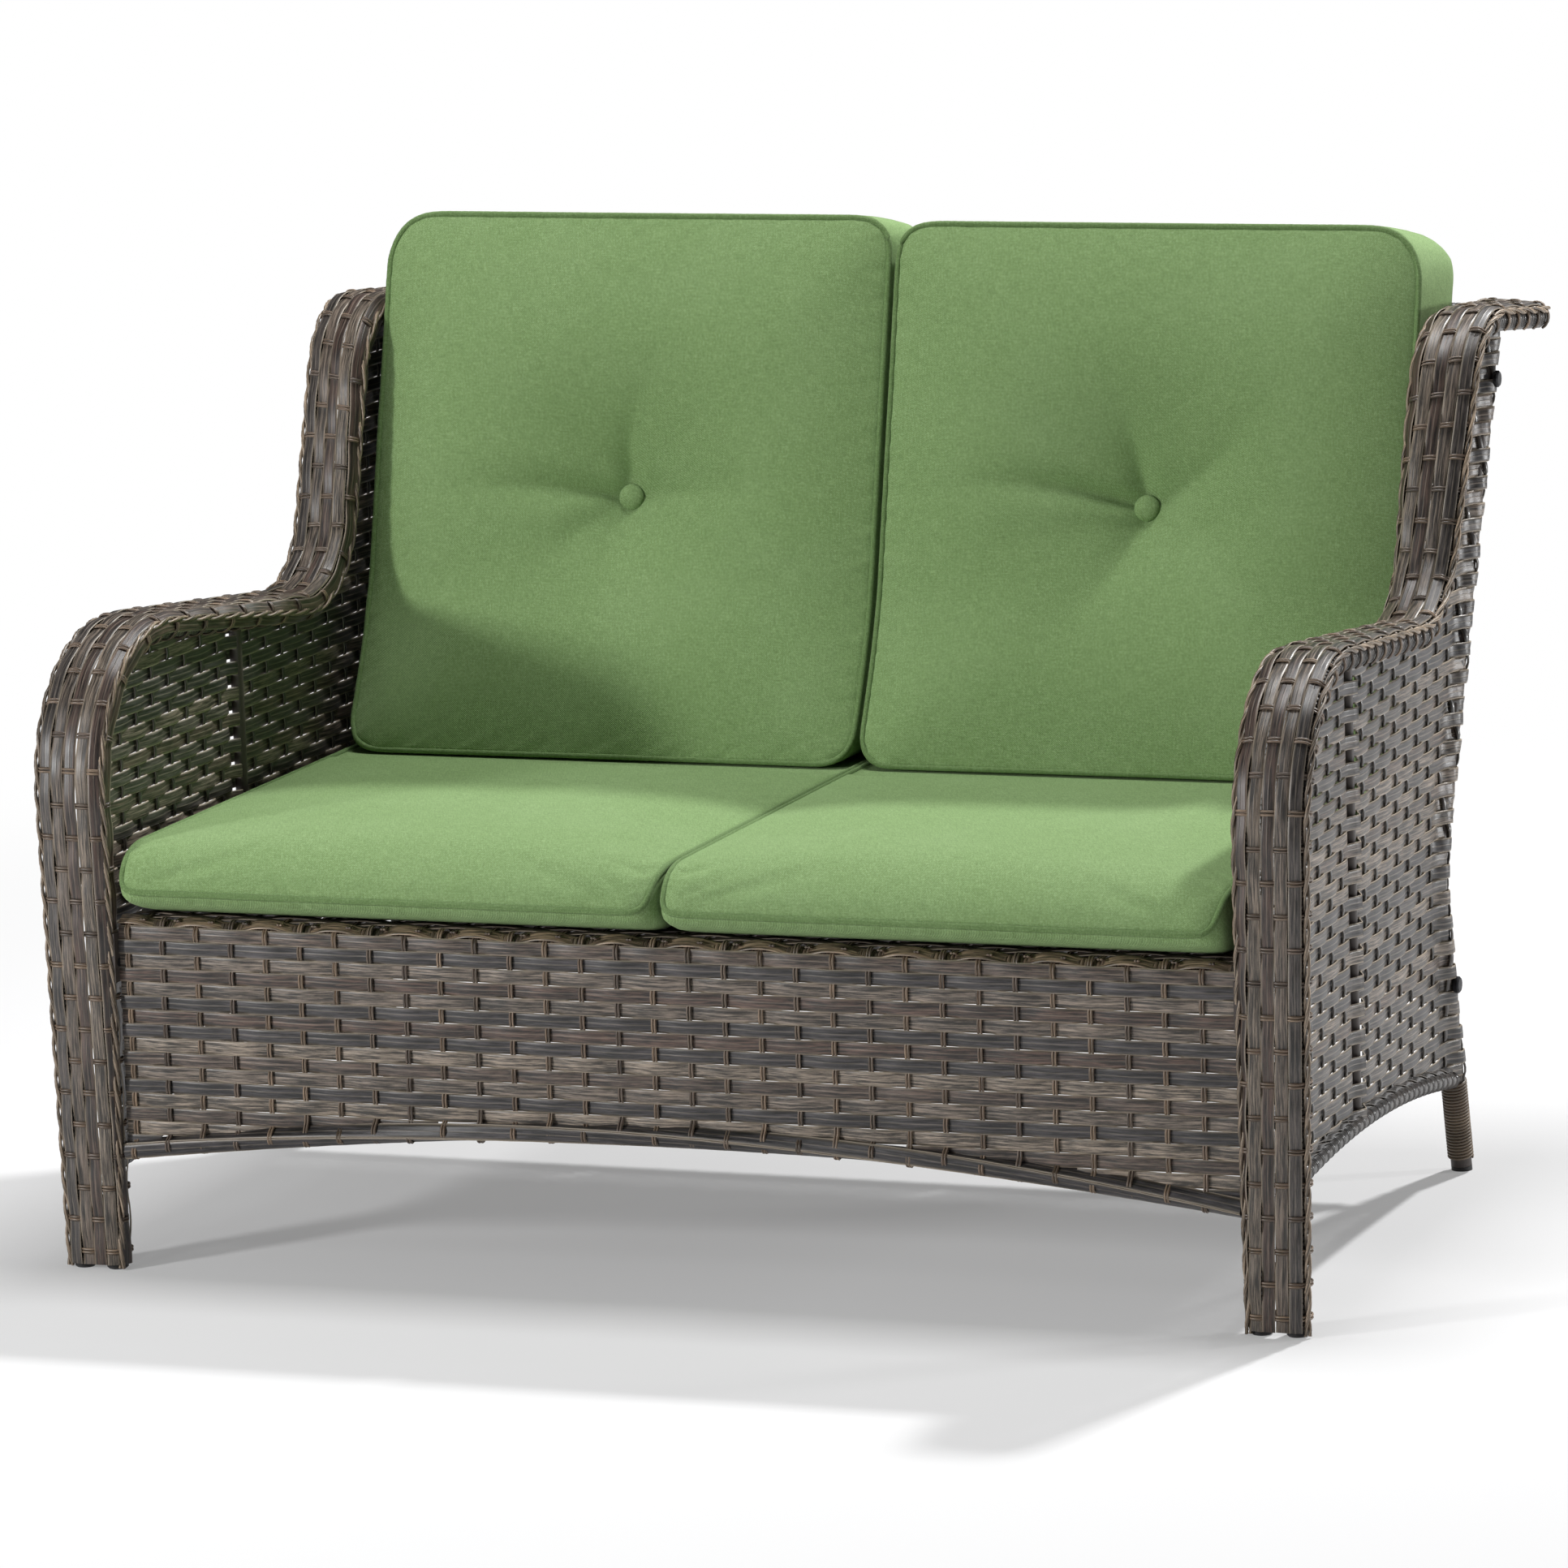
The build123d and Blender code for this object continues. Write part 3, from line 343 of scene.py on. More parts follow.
def wound_threads_tree():
    """Threads wound round a guide line: a coil on a tube, or cords laid round each other."""
    tree, given, result = node_group("wound_threads", "GeometryNodeTree", {
        "Geometry": "Geometry", "Threads": 1, "Pitch": 0.004, "Steps": 12.0, "Reach": 0.012, "Begin": 0.0, "Wander": 0.0,
        **thread_sizes,
    }, {"Geometry": "Geometry"})
    line = node_value(tree, "GeometryNodeMeshToCurve", {"Mesh": given["Geometry"]})
    start = maths("NORMALIZE", read_attribute(tree, "side", "FLOAT_VECTOR"))
    step = given["Pitch"] / given["Steps"]
    dense = node_value(tree, "GeometryNodeResampleCurve", {"Curve": line, "Length": step}, mode="LENGTH")
    copies = add_node(
        tree, "GeometryNodeDuplicateElements", {"Geometry": dense, "Amount": given["Threads"]}, domain="SPLINE")
    kept = keep_attributes(
        Value(copies.outputs[0]), along=node_value(tree, "GeometryNodeSplineParameter", output="Length"),
        thread=Value(copies.outputs[1]), heading=maths("NORMALIZE", node_value(tree, "GeometryNodeInputTangent")),
    )
    along, number = read_attribute(tree, "along"), read_attribute(tree, "thread")
    heading = read_attribute(tree, "heading", "FLOAT_VECTOR")
    side = maths("NORMALIZE", maths("CROSS_PRODUCT", maths("CROSS_PRODUCT", heading, start), heading))
    other = maths("CROSS_PRODUCT", heading, side)
    turns = along / given["Pitch"] + (number / given["Threads"] + given["Begin"])
    angle = turns * (2 * math.pi)
    outward = maths("SCALE", side, maths("COSINE", angle)) + maths("SCALE", other, maths("SINE", angle))
    unsteady = noise(vector_of(tree, along * 60.0, number, given["Seed"]), 1.0, 1.0)
    reach = given["Reach"] + (unsteady - 0.5) * given["Wander"]
    few = maths("FLOOR", turns * 0.25)
    tone = node_value(tree, "FunctionNodeRandomValue", {"ID": few, "Seed": given["Seed"]}, data_type="FLOAT")
    kept = keep_attributes(kept, facing=outward, tone=tone)
    offset = maths("SCALE", read_attribute(tree, "facing", "FLOAT_VECTOR"), reach)
    placed = node_value(tree, "GeometryNodeSetPosition", {"Geometry": kept, "Offset": offset})
    return finish_threads(tree, placed, given, result)


woven_threads = woven_threads_tree()
wound_threads = wound_threads_tree()


# Routes and planes, repeated from the part's source, in metres

leg_y = -0.40055
inner_route = [
    (0.556, 0, 0), (0.555, -0.0018, 0.5934), (0.5425, 0.5254, 0.5402), (0.545, 0.6213, 0.8144), (0.549, 0.8185, 0.8006)]
outer_route = [
    (0.589, 0, 0), (0.6015, -0.0018, 0.5934), (0.573, 0.5254, 0.543), (0.581, 0.6325, 0.817), (0.594, 0.8105, 0.799)]
arm_bends = (0.135, 0.105, 0.082)
post_route = [(0.55, 0.6535, 0.0), (0.55, 0.5795, 0.3), (0.55, 0.8045, 0.8016)]
post_bend = 0.12
tube_r = 0.010
in_x, in_y = (1, 0, 0), (0, -1, 0)


def unit(vectors):
    """Vectors scaled to length one."""
    vectors = np.asarray(vectors, float)
    return vectors / np.linalg.norm(vectors, axis=-1, keepdims=True)


def bent_path(points, bends, run_steps, bend_steps):
    """Places and headings along straight runs joined by tangent arcs."""
    corners = [np.array(p, float) + (0, leg_y, 0) for p in points]
    places, headings = [], []
    begin = corners[0]
    for index in range(1, len(corners)):
        heading = unit(corners[index] - corners[index - 1])
        if index == len(corners) - 1:
            finish = corners[index]
        else:
            leaving = unit(corners[index + 1] - corners[index])
            turn = math.acos(float(heading @ leaving))
            bend = bends[index - 1]
            finish = corners[index] - heading * bend * math.tan(turn / 2)
        for share in np.linspace(0, 1, run_steps, endpoint=False):
            places.append(begin + (finish - begin) * share)
            headings.append(heading)
        if index < len(corners) - 1:
            inward = unit(leaving - heading * math.cos(turn))
            centre = finish + inward * bend
            for angle in np.linspace(0, turn, bend_steps, endpoint=False):
                places.append(centre - inward * bend * math.cos(angle) + heading * bend * math.sin(angle))
                headings.append(heading * math.cos(angle) + inward * math.sin(angle))
            begin = centre - inward * bend * math.cos(turn) + heading * bend * math.sin(turn)
    places.append(corners[-1])
    headings.append(heading)
    return np.array(places), np.array(headings)


def path_length(places):
    """Distance travelled at each place."""
    return np.concatenate([[0], np.cumsum(np.linalg.norm(np.diff(places, axis=0), axis=1))])


def spaced(line, count):
    """Even places along a closed line, which comes with its first place repeated at its end."""
    travel = path_length(line)
    marks = np.linspace(0, travel[-1], count, endpoint=False)
    return np.stack([np.interp(marks, travel, axis) for axis in line.T], axis=1)


def sheet_guide(points, cloth, keep=None, flip=False):
    """A guide surface from a grid of points with the cloth's own coordinates at each."""
    rows, columns = points.shape[:2]
    faces, corner_cloth = [], []
    for i in range(rows - 1):
        for j in range(columns - 1):
            if keep is None or keep[i, j]:
                ring = [(i, j), (i + 1, j), (i + 1, j + 1), (i, j + 1)][::-1 if flip else 1]
                faces.append([a * columns + b for a, b in ring])
                corner_cloth.extend(cloth[a, b] for a, b in ring)
    guide = mesh_object("guide", points.reshape(-1, 3), faces)
    layer = guide.data.attributes.new("cloth", "FLOAT_VECTOR", "CORNER")
    flat = np.zeros((len(corner_cloth), 3), np.float32)
    flat[:, :2] = corner_cloth
    layer.data.foreach_set("vector", flat.ravel())
    guide.data.shade_smooth()
    return guide


def wound(name, places, side, **sizes):
    """Threads wound round a line, from a direction to its side."""
    guide = mesh_object("guide", places, edges=[(i, i + 1) for i in range(len(places) - 1)])
    layer = guide.data.attributes.new("side", "FLOAT_VECTOR", "POINT")
    layer.data.foreach_set("vector", np.tile(np.float32(side), len(places)))
    return grow(guide, wound_threads, name, **sizes)


def woven(name, guide, own, crossing, **sizes):
    """Threads woven over a guide surface; they and those that cross them have a first place, a pitch and a count."""
    first, pitch, threads = own
    cross_first, cross_pitch, crossings = crossing
    return grow(guide, woven_threads, name, first=first, pitch=pitch, threads=threads, cross_first=cross_first,
                cross_pitch=cross_pitch, crossings=float(crossings), **sizes)


# Finishes

def srgb(*parts):
    """A colour written as on a screen, from 0 to 255, made linear."""
    parts = [part / 255 for part in parts]
    return (*(part / 12.92 if part <= 0.04045 else ((part + 0.055) / 1.055) ** 2.4 for part in parts), 1.0)


def mix_color(factor, first, second):
    """One colour laid over another."""
    return node_value(factor.socket.id_data, "ShaderNodeMix", {0: factor, 1: first, 2: second}, data_type="RGBA")


def look_group(name, inputs):
    """An empty shader group that gives a look."""
    return node_group(name, "ShaderNodeTree", inputs, {"Color": "Color", "Roughness": "Float", "Height": "Float"})


def hand_over(tree, out, *look):
    """Give a look's colour, roughness and height to the group's outputs."""
    for socket, value in zip(out, look):
        feed(socket, value)
    return tree


def strand_look_group():
    """Colour, roughness and height of extruded resin: ribs along it, speckle, and a painted highlight along its edges
    and on its rib crowns.
    """
    tree, given, out = look_group("resin_strand", {
        "Base": (0.1, 0.08, 0.06, 1.0), "Along": 0.0, "Across": 0.0, "Thread": 0.0, "Place": "Vector",
        "Pale": 0.35, "Speckle": 0.5, "Ribs": 2.0,
    })
    strip = vector_of(tree, given["Along"], given["Across"] * 0.006, given["Thread"] * 0.37)
    streak = noise(strip * (30, 620, 1), 1.0, 3.0, 0.65)
    broad = noise(strip * (9, 120, 1), 1.0)
    hair = noise(strip * (90, 2600, 1), 1.0)
    grains = noise(given["Place"], 1500.0, 2.0, 0.7)
    edge = abs(given["Across"]) ** 7.0
    rib = maths("MAXIMUM", maths("COSINE", given["Across"] * (given["Ribs"] * math.pi)), 0.0) ** 6.0
    lightness = 0.63 + (streak - 0.5) * 5.6 + (broad - 0.5) * 1.7 + (hair - 0.5) * 2.8 + (grains - 0.5) * given["Speckle"]
    # Painted highlight: the strand's edges and rib crowns are mixed towards a pale glint colour where light would catch
    # them
    pale = given["Pale"] * maths("ADD", edge, rib * (streak * 0.5), clamp=True)
    color = mix_color(pale, maths("SCALE", given["Base"], maths("MAXIMUM", lightness, 0.14)), srgb(196, 182, 162))
    return hand_over(tree, out, color, 0.22 + streak * 0.30 + grains * 0.08, rib * 0.5 + streak * 0.55 + grains * 0.30)


def coat_look_group():
    """Powder coat or moulded plastic: fine orange peel, faint mottling and scattered wear."""
    tree, given, out = look_group("powder_coat", {
        "Base": (0.05, 0.05, 0.05, 1.0), "Worn": (0.2, 0.2, 0.2, 1.0), "Place": "Vector", "Peel": 900.0, "Wear": 0.3,
    })
    peel = noise(given["Place"], given["Peel"], 2.0, 0.55)
    mottle = noise(given["Place"], 24.0, 3.0, 0.6)
    scuff = noise(given["Place"], 130.0, 4.0, 0.65)
    worn = given["Wear"] * maths("MULTIPLY", scuff - 0.55, 4.0, clamp=True)
    color = mix_color(worn, maths("SCALE", given["Base"], 0.75 + mottle * 0.5), given["Worn"])
    return hand_over(tree, out, color, 0.34 + (mottle + scuff) * 0.14, peel + scuff * 0.6)


def twill_look_group():
    """Woven outdoor cloth: a diagonal twill of two yarn shades, slubs and a soft mottle."""
    tree, given, out = look_group("twill_cloth", {
        "Base": (0.2, 0.4, 0.1, 1.0), "Deep": (0.1, 0.2, 0.05, 1.0), "Light": (0.4, 0.6, 0.3, 1.0),
        "Place": "Vector", "Yarn": 0.0011,
    })
    x, y, z = parts_of(given["Place"])
    u, v = x + y * 0.45, z + y * 0.85
    step = (2 * math.pi) / given["Yarn"]
    rib = maths("SINE", (u + v) * (step * 0.5))
    weave = rib * 0.6 + (maths("SINE", u * step) + maths("SINE", v * step)) * 0.2
    slubs = noise(vector_of(tree, u * 60.0, v * 1100.0), 1.0) + noise(vector_of(tree, u * 1100.0, v * 60.0), 1.0)
    speck = (noise(given["Place"], 620.0, 2.0, 0.75) - 0.5) * 1.5
    mottle = noise(given["Place"], 9.0, 3.0, 0.6)
    color = given["Base"]
    for share, shade in (
        (maths("ADD", (0.15 - weave) * 0.30, (1.0 - slubs) * 0.9, clamp=True), "Deep"),
        (maths("ADD", (weave - 0.35) * 0.22, (slubs - 1.0) * 0.8, clamp=True), "Light"),
        (maths("MAXIMUM", speck, 0.0), "Light"),
        (maths("MAXIMUM", speck * -1.0, 0.0), "Deep"),
        (maths("MULTIPLY", mottle - 0.45, 0.25, clamp=True), "Light"),
    ):
        color = mix_color(share, color, given[shade])
    return hand_over(tree, out, color, 0.78 + slubs * 0.08, weave + slubs * 0.8)


resin_strand = strand_look_group()
powder_coat = coat_look_group()
twill_cloth = twill_look_group()


def painted(name, group, values, bump, shine, tones=(), **more):
    """A material round one of the groups. The shader takes its look, and each thread takes one of the tones."""
    material = bpy.data.materials.new(name)
    material.use_nodes = True
    tree = material.node_tree
    look = add_node(tree, "ShaderNodeGroup", node_tree=group)
    feed(look.inputs["Place"], node_value(tree, "ShaderNodeTexCoord", output="Object"))
    for key, value in values.items():
        look.inputs[key].default_value = value
    if tones:
        for key in ("Along", "Across", "Thread"):
            feed(look.inputs[key], node_value(tree, "ShaderNodeAttribute", output="Fac", attribute_name=key.lower()))
        picked = node_value(tree, "ShaderNodeAttribute", output="Fac", attribute_name="tone")
        steps = add_node(tree, "ShaderNodeValToRGB", {"Fac": picked})
        ramp = steps.color_ramp
        ramp.interpolation = "CONSTANT"
        while len(ramp.elements) < len(tones):
            ramp.elements.new(0.5)
        for index, (element, tone) in enumerate(zip(ramp.elements, tones)):
            element.position = index / len(tones)
            element.color = srgb(*tone)
        feed(look.inputs["Base"], Value(steps.outputs["Color"]))
    relief = node_value(tree, "ShaderNodeBump", {
        "Height": Value(look.outputs["Height"]), "Strength": bump[0], "Distance": bump[1],
    })
    shader = tree.nodes["Principled BSDF"]
    for key, value in {
        "Base Color": Value(look.outputs["Color"]), "Roughness": Value(look.outputs["Roughness"]), "Normal": relief,
        "Specular IOR Level": shine, **{key.replace("_", " ").title(): value for key, value in more.items()},
    }.items():
        feed(shader.inputs[key], value)
    return material


# The pale value of a strand paint sets how strong its painted highlight on edges and rib crowns is
def strand_paint_of(name, tones, pale, speckle, ribs, shine, bump=(0.35, 0.0003), **more):
    """Resin strand paint."""
    return painted(name, resin_strand, {"Pale": pale, "Speckle": speckle, "Ribs": ribs}, bump, shine, tones, **more)


def coat_paint_of(name, base, worn, peel, wear, shine, bump, **more):
    """Powder coat, plating, plastic or foam."""
    values = {"Base": srgb(*base), "Worn": srgb(*worn), "Peel": peel, "Wear": wear}
    return painted(name, powder_coat, values, bump, shine, **more)


def cloth_paint_of(name, base, deep, light, yarn, shine, bump, sheen, sheen_roughness):
    """Cushion cloth."""
    values = {"Base": srgb(*base), "Deep": srgb(*deep), "Light": srgb(*light), "Yarn": yarn}
    return painted(name, twill_cloth, values, bump, shine, sheen_weight=sheen, sheen_roughness=sheen_roughness,
                   sheen_tint=srgb(222, 232, 208))


brown, taupe, charcoal, warm_grey = (84, 71, 63), (110, 99, 89), (55, 52, 54), (82, 76, 72)
strand_bump = (0.5, 0.0004)
strand_paint = strand_paint_of(
    "flat_strand", [brown, charcoal, taupe, warm_grey, (78, 61, 53), charcoal, (128, 116, 103), brown],
    0.62, 0.9, 2.0, 0.6, strand_bump)
# The arm bands take darker copies of the strand tones: painted shade on the arms
arm_paint = strand_paint_of(
    "arm_strand", [(74, 62, 55), (50, 46, 47), (94, 83, 74), (70, 64, 61), (68, 53, 46), (104, 93, 82)],
    0.55, 0.9, 2.0, 0.6, strand_bump)
# The side panels' strands carry the strongest painted highlight along their edges and rib crowns
side_paint = strand_paint_of(
    "side_strand", [warm_grey, charcoal, taupe, (92, 86, 81), brown, charcoal, (72, 67, 65), taupe],
    0.9, 0.9, 2.0, 0.7, strand_bump)
cord_paint = strand_paint_of(
    "tie_cord", [(122, 103, 87), (108, 93, 80), (134, 114, 95), (98, 84, 74)], 0.25, 0.5, 1.0, 0.5)
laid_paint = strand_paint_of("laid_cord", [(150, 132, 112), (134, 118, 101), (120, 106, 92)], 0.3, 0.5, 1.0, 0.5)
dark_paint = strand_paint_of(
    "dark_strand", [(46, 39, 36), (28, 26, 26), (52, 45, 41), (36, 33, 33)], 0.22, 0.4, 1.0, 0.7,
    coat_weight=0.3, coat_roughness=0.12)
coil_paint = strand_paint_of(
    "leg_coil", [(122, 105, 89), (114, 98, 82), (128, 112, 94)], 0.2, 0.4, 1.0, 0.5, (0.3, 0.0002))
tube_paint = coat_paint_of("tube_coat", (62, 54, 50), (112, 104, 98), 900.0, 0.25, 0.5, (0.25, 0.0003))
bolt_paint = coat_paint_of("black_zinc", (40, 40, 43), (150, 150, 152), 1600.0, 0.4, 0.5, (0.2, 0.0002), metallic=0.75)
glide_paint = coat_paint_of("glide_plastic", (34, 33, 34), (96, 94, 92), 500.0, 0.35, 0.4, (0.3, 0.0003))
foam_paint = coat_paint_of("foam", (222, 206, 160), (196, 176, 130), 700.0, 0.4, 0.2, (0.6, 0.001))
cushion_cloth = cloth_paint_of(
    "cushion_twill", (126, 155, 100), (80, 100, 56), (178, 202, 156), 0.0012, 0.2, (0.35, 0.0005), 0.08, 0.45)
# The piping is the cushion's own cloth in darker colours: painted shade along the welts
piping_cloth = cloth_paint_of(
    "piping_twill", (102, 129, 78), (70, 92, 50), (156, 183, 134), 0.0009, 0.25, (0.35, 0.0004), 0.12, 0.4)

node_paints = {
    "bolts": bolt_paint, "brackets": tube_paint, "spacers": glide_paint, "inserts": bolt_paint, "glide": glide_paint,
    "core": foam_paint, "fill": foam_paint, "cushion": cushion_cloth, "button": piping_cloth, "weave": dark_paint,
    "leg_wrap": dark_paint,
}
for node_name, holder in nodes.items():
    paint = next((material for key, material in node_paints.items() if key in node_name), tube_paint)
    holder.data.materials.clear()
    holder.data.materials.append(paint)


def flat_strand(**other):
    """Sizes of the flat strand, apart from those given."""
    return {"width": 0.0122, "thickness": 0.0015, "corners": 8, "flatness": 0.5, "material": strand_paint, **other}


def twin_cords(**other):
    """Sizes of the upright pairs of round cord, apart from those given."""
    return {"ply": 2, "twin_gap": 0.0027, "upright": 1.0, "width": 0.0026, "thickness": 0.0022, "corners": 6,
            "flatness": 0.9, "material": cord_paint, **other}


# Apron

apron_y, apron_half, apron_rail_reach = -0.39985, 0.5394, 0.0084
front_rail_y, front_rail_z, front_rail_reach = -0.38705, 0.318, 0.0128


def apron_arch(x):
    """Height of the bowed lower rail's middle."""
    half, rise, low = 0.556, 0.041, 0.110
    radius = (half * half + rise * rise) / (2 * rise)
    return low + rise - radius + np.sqrt(radius * radius - x * x)


def apron_guide(rolled):
    """The apron's face, over the front rail; rolled, it goes on round the lower rail."""
    begin, turn = 0.012, math.radians(50)
    grid, cloth = [], []
    for x in np.linspace(-apron_half, apron_half, 73):
        base = apron_arch(x)
        column = [
            (front_rail_y - front_rail_reach * math.cos(a), front_rail_z + front_rail_reach * math.sin(a),
             front_rail_z + front_rail_reach * a) for a in np.radians(np.arange(150, 0, -15))]
        column += [(apron_y, z, z) for z in np.linspace(front_rail_z, base + (begin if rolled else 0.0035), 9)]
        if rolled:
            column += [
                (apron_y - apron_rail_reach * math.cos(a), base + apron_rail_reach * math.sin(a),
                 base + begin - 0.0045 - apron_rail_reach * (turn - a)) for a in np.radians(np.arange(50, -200, -25))]
        grid.append([(x, y, z) for y, z, _ in column])
        cloth.append([(x, mark) for _, _, mark in column])
    return sheet_guide(np.array(grid), np.array(cloth))


stake_first, stake_pitch, stake_count = -0.5306, 0.0346, 32
row_first, row_pitch, row_count = 0.1085, 0.0131, 17
strands = woven(
    "apron_strands", apron_guide(False), (row_first, row_pitch, row_count), (stake_first, stake_pitch, stake_count),
    samples=129, start=-apron_half, run=2 * apron_half, lift=0.0018, snap=1.1, rise=0.0004, wander=0.0009, seed=3,
    **flat_strand(width=0.0136))
# The border strand takes the paler tie-cord paint: a painted highlight on its arcs, which lie in the cushion's shadow
border = woven(
    "apron_border", apron_guide(False), (row_first + row_count * row_pitch, row_pitch, 1),
    (stake_first - stake_pitch, stake_pitch, stake_count + 2), samples=193, start=-apron_half, run=2 * apron_half,
    lift=0.0040, snap=1.0, rise=0.0016, wander=0.0006, seed=4, **flat_strand(width=0.0128, material=cord_paint))
stakes = woven(
    "apron_stakes", apron_guide(True), (stake_first, stake_pitch, stake_count), (row_first, row_pitch, row_count + 1),
    samples=92, start=0.055, run=0.292, lift=-0.0016, snap=1.4, rise=0.0002, wander=0.0008, seed=5, **twin_cords())
apron_rail = wound(
    "apron_rail_strands", [(x, apron_y, apron_arch(x)) for x in np.linspace(-0.541, 0.541, 80)], in_y, threads=4,
    pitch=1.6, steps=240.0, reach=0.0070, wander=0.0010, width=0.0135, thickness=0.0016, corners=8, flatness=0.6, seed=7,
    material=strand_paint)
rail_coil = wound(
    "front_rail_coil", [(x, front_rail_y, front_rail_z) for x in np.linspace(-0.535, 0.535, 3)], in_y, threads=1,
    pitch=0.0038, steps=10.0, reach=0.0104, width=0.0034, thickness=0.0010, corners=6, flatness=0.8, seed=8,
    material=cord_paint)
declare(joined("apron_wicker", [strands, border, stakes, apron_rail]), "frame", "weave", "apron_weave")
declare(rail_coil, "frame", "cord")


# Arm bands

band_r, band_turn = 0.0126, math.radians(130)
near, near_heading = bent_path(inner_route, arm_bends, 14, 12)
far, far_heading = bent_path(outer_route, arm_bends, 14, 12)
heading = unit(near_heading + far_heading)
outward = unit(np.cross(far - near, heading))
band_travel = path_length((near + far) / 2)
band_length = band_travel[-1]
stations = list(zip(near, far, outward, band_travel))


def band_section(a, b, outward_now, v, reach):
    """Point of the band's cross-section at v, measured from the outer tube's line."""
    width = np.linalg.norm(b - a)
    across = (b - a) / width
    if v > 0:
        angle = v / band_r
        return b + reach * (across * math.sin(angle) + outward_now * math.cos(angle))
    if v < -width:
        angle = (-width - v) / band_r
        return a + reach * (-across * math.sin(angle) + outward_now * math.cos(angle))
    return b + across * v + outward_now * reach


def band_guide():
    """The band's surface from its inner underside to its outer underside, rolled over the curl's end bar."""
    marks = np.linspace(-0.088, 0.033, 26)
    rolled = list(stations)
    for angle in band_turn * np.arange(1, 7) / 6:
        turned = outward[-1] * math.cos(angle) + heading[-1] * math.sin(angle)
        rolled.append((near[-1], far[-1], turned, band_length + band_r * angle))
    grid = [[band_section(a, b, out_now, v, band_r) for v in marks] for a, b, out_now, _ in rolled]
    cloth = [[(travel, v) for v in marks] for _, _, _, travel in rolled]
    return sheet_guide(np.array(grid), np.array(cloth), flip=True)


band_first, band_pitch, band_count = 0.002, 0.0124, 6
tie_first, tie_pitch = 0.018, 0.0300
ties = (tie_first, tie_pitch, int((band_length - tie_first) / tie_pitch) + 1)
band_strands = woven(
    "band_strands", band_guide(), (band_first, -band_pitch, band_count), ties, samples=int(band_length / 0.0075),
    start=0.005, run=band_length + 0.020, lift=0.0011, snap=1.3, rise=0.0003, wander=0.0009, seed=11,
    **flat_strand(material=arm_paint))
band_ties = woven(
    "band_ties", band_guide(), ties, (band_first - (band_count - 1) * band_pitch, band_pitch, band_count), samples=56,
    start=-0.087, run=0.119, lift=0.0016, snap=1.8, rise=0.0003, wander=0.0014, seed=13, **twin_cords())


def clear_of_floor(places, gap):
    """The line with its first point moved up along it, so that its end clears the floor."""
    share = min(1.0, gap / max(1e-6, places[1][2] - places[0][2]))
    return np.concatenate([[places[0] + (places[1] - places[0]) * share], places[1:]])


def laid_pair(name, v_at, seed):
    """A pair of cords laid round each other that runs along the band where v_at says."""
    line = [band_section(a, b, out_now, v_at(a, b, travel), band_r + 0.0012) for a, b, out_now, travel in stations]
    return wound(
        name, clear_of_floor(np.array(line), 0.002), in_x, threads=2, pitch=0.060, steps=12.0, reach=0.0019, seed=seed,
        width=0.0040, thickness=0.0032, corners=6, flatness=0.85, material=laid_paint)


def inner_edge(a, b, travel):
    """Where the inner laid pair runs: it comes round to the front towards the foot."""
    share = min(1.0, travel / 0.45)
    return (1 - share) * (-np.linalg.norm(b - a) - 0.009) + share * (-0.0545)


def tube_wrap(name, places, side, **other):
    """A flat strand wound round a hidden tube."""
    return wound(name, places, side, pitch=0.0056, steps=10.0, thickness=0.0011, corners=6, flatness=0.6,
                 material=dark_paint, **other)


band_edges = [laid_pair("outer_pair", lambda a, b, travel: 0.0125, 17), laid_pair("inner_pair", inner_edge, 19)]
band_wraps = [
    tube_wrap(name, clear_of_floor(line, 0.0075), in_x, reach=0.0108, width=0.0052, seed=seed)
    for name, line, seed in (("inner_wrap", near, 23), ("outer_wrap", far, 29))
]
band_right = joined("arm_band_right", [band_strands, band_ties] + band_edges)
wraps_right = joined("arm_wraps_right", band_wraps)
band_left = swap_sides(twin(band_right, "arm_band_left"))
wraps_left = swap_sides(twin(wraps_right, "arm_wraps_left"))
for side, band, wraps in (("left", band_left, wraps_left), ("right", band_right, wraps_right)):
    declare(band, "frame", "weave", "arm_weave_" + side)
    declare(wraps, "frame", "cord")


# Side panels

panel_x_front, panel_x_rear, panel_run, side_rail_run = 0.556, 0.550, 0.6535, 0.6306
post_places, _ = bent_path(post_route, [post_bend], 20, 10)
arm_outline, _ = bent_path(inner_route, arm_bends, 12, 12)


def panel_x(back):
    """How far out the side panel stands, at a distance behind the leg."""
    return panel_x_front + (panel_x_rear - panel_x_front) * back / panel_run


def side_rail_z(back):
    """Height of the bowed rail under the side weave, at a distance behind the leg."""
    bow = np.array([(0.0, 0.097), (0.311, 0.1225), (side_rail_run, 0.093)])
    cx, cz, c = np.linalg.solve(np.column_stack([2 * bow, np.ones(3)]), (bow ** 2).sum(axis=1))
    return cz + np.sqrt(c + cx * cx + cz * cz - (back - cx) ** 2)


def inside_outline(outline, x, y):
    """Whether points lie inside a closed outline."""
    inside = np.zeros(x.shape, bool)
    x0, y0 = outline[-1]
    for x1, y1 in outline:
        crosses = (y0 > y) != (y1 > y)
        with np.errstate(divide="ignore", invalid="ignore"):
            inside ^= crosses & (x < (x1 - x0) * (y - y0) / (y1 - y0) + x0)
        x0, y0 = x1, y1
    return inside


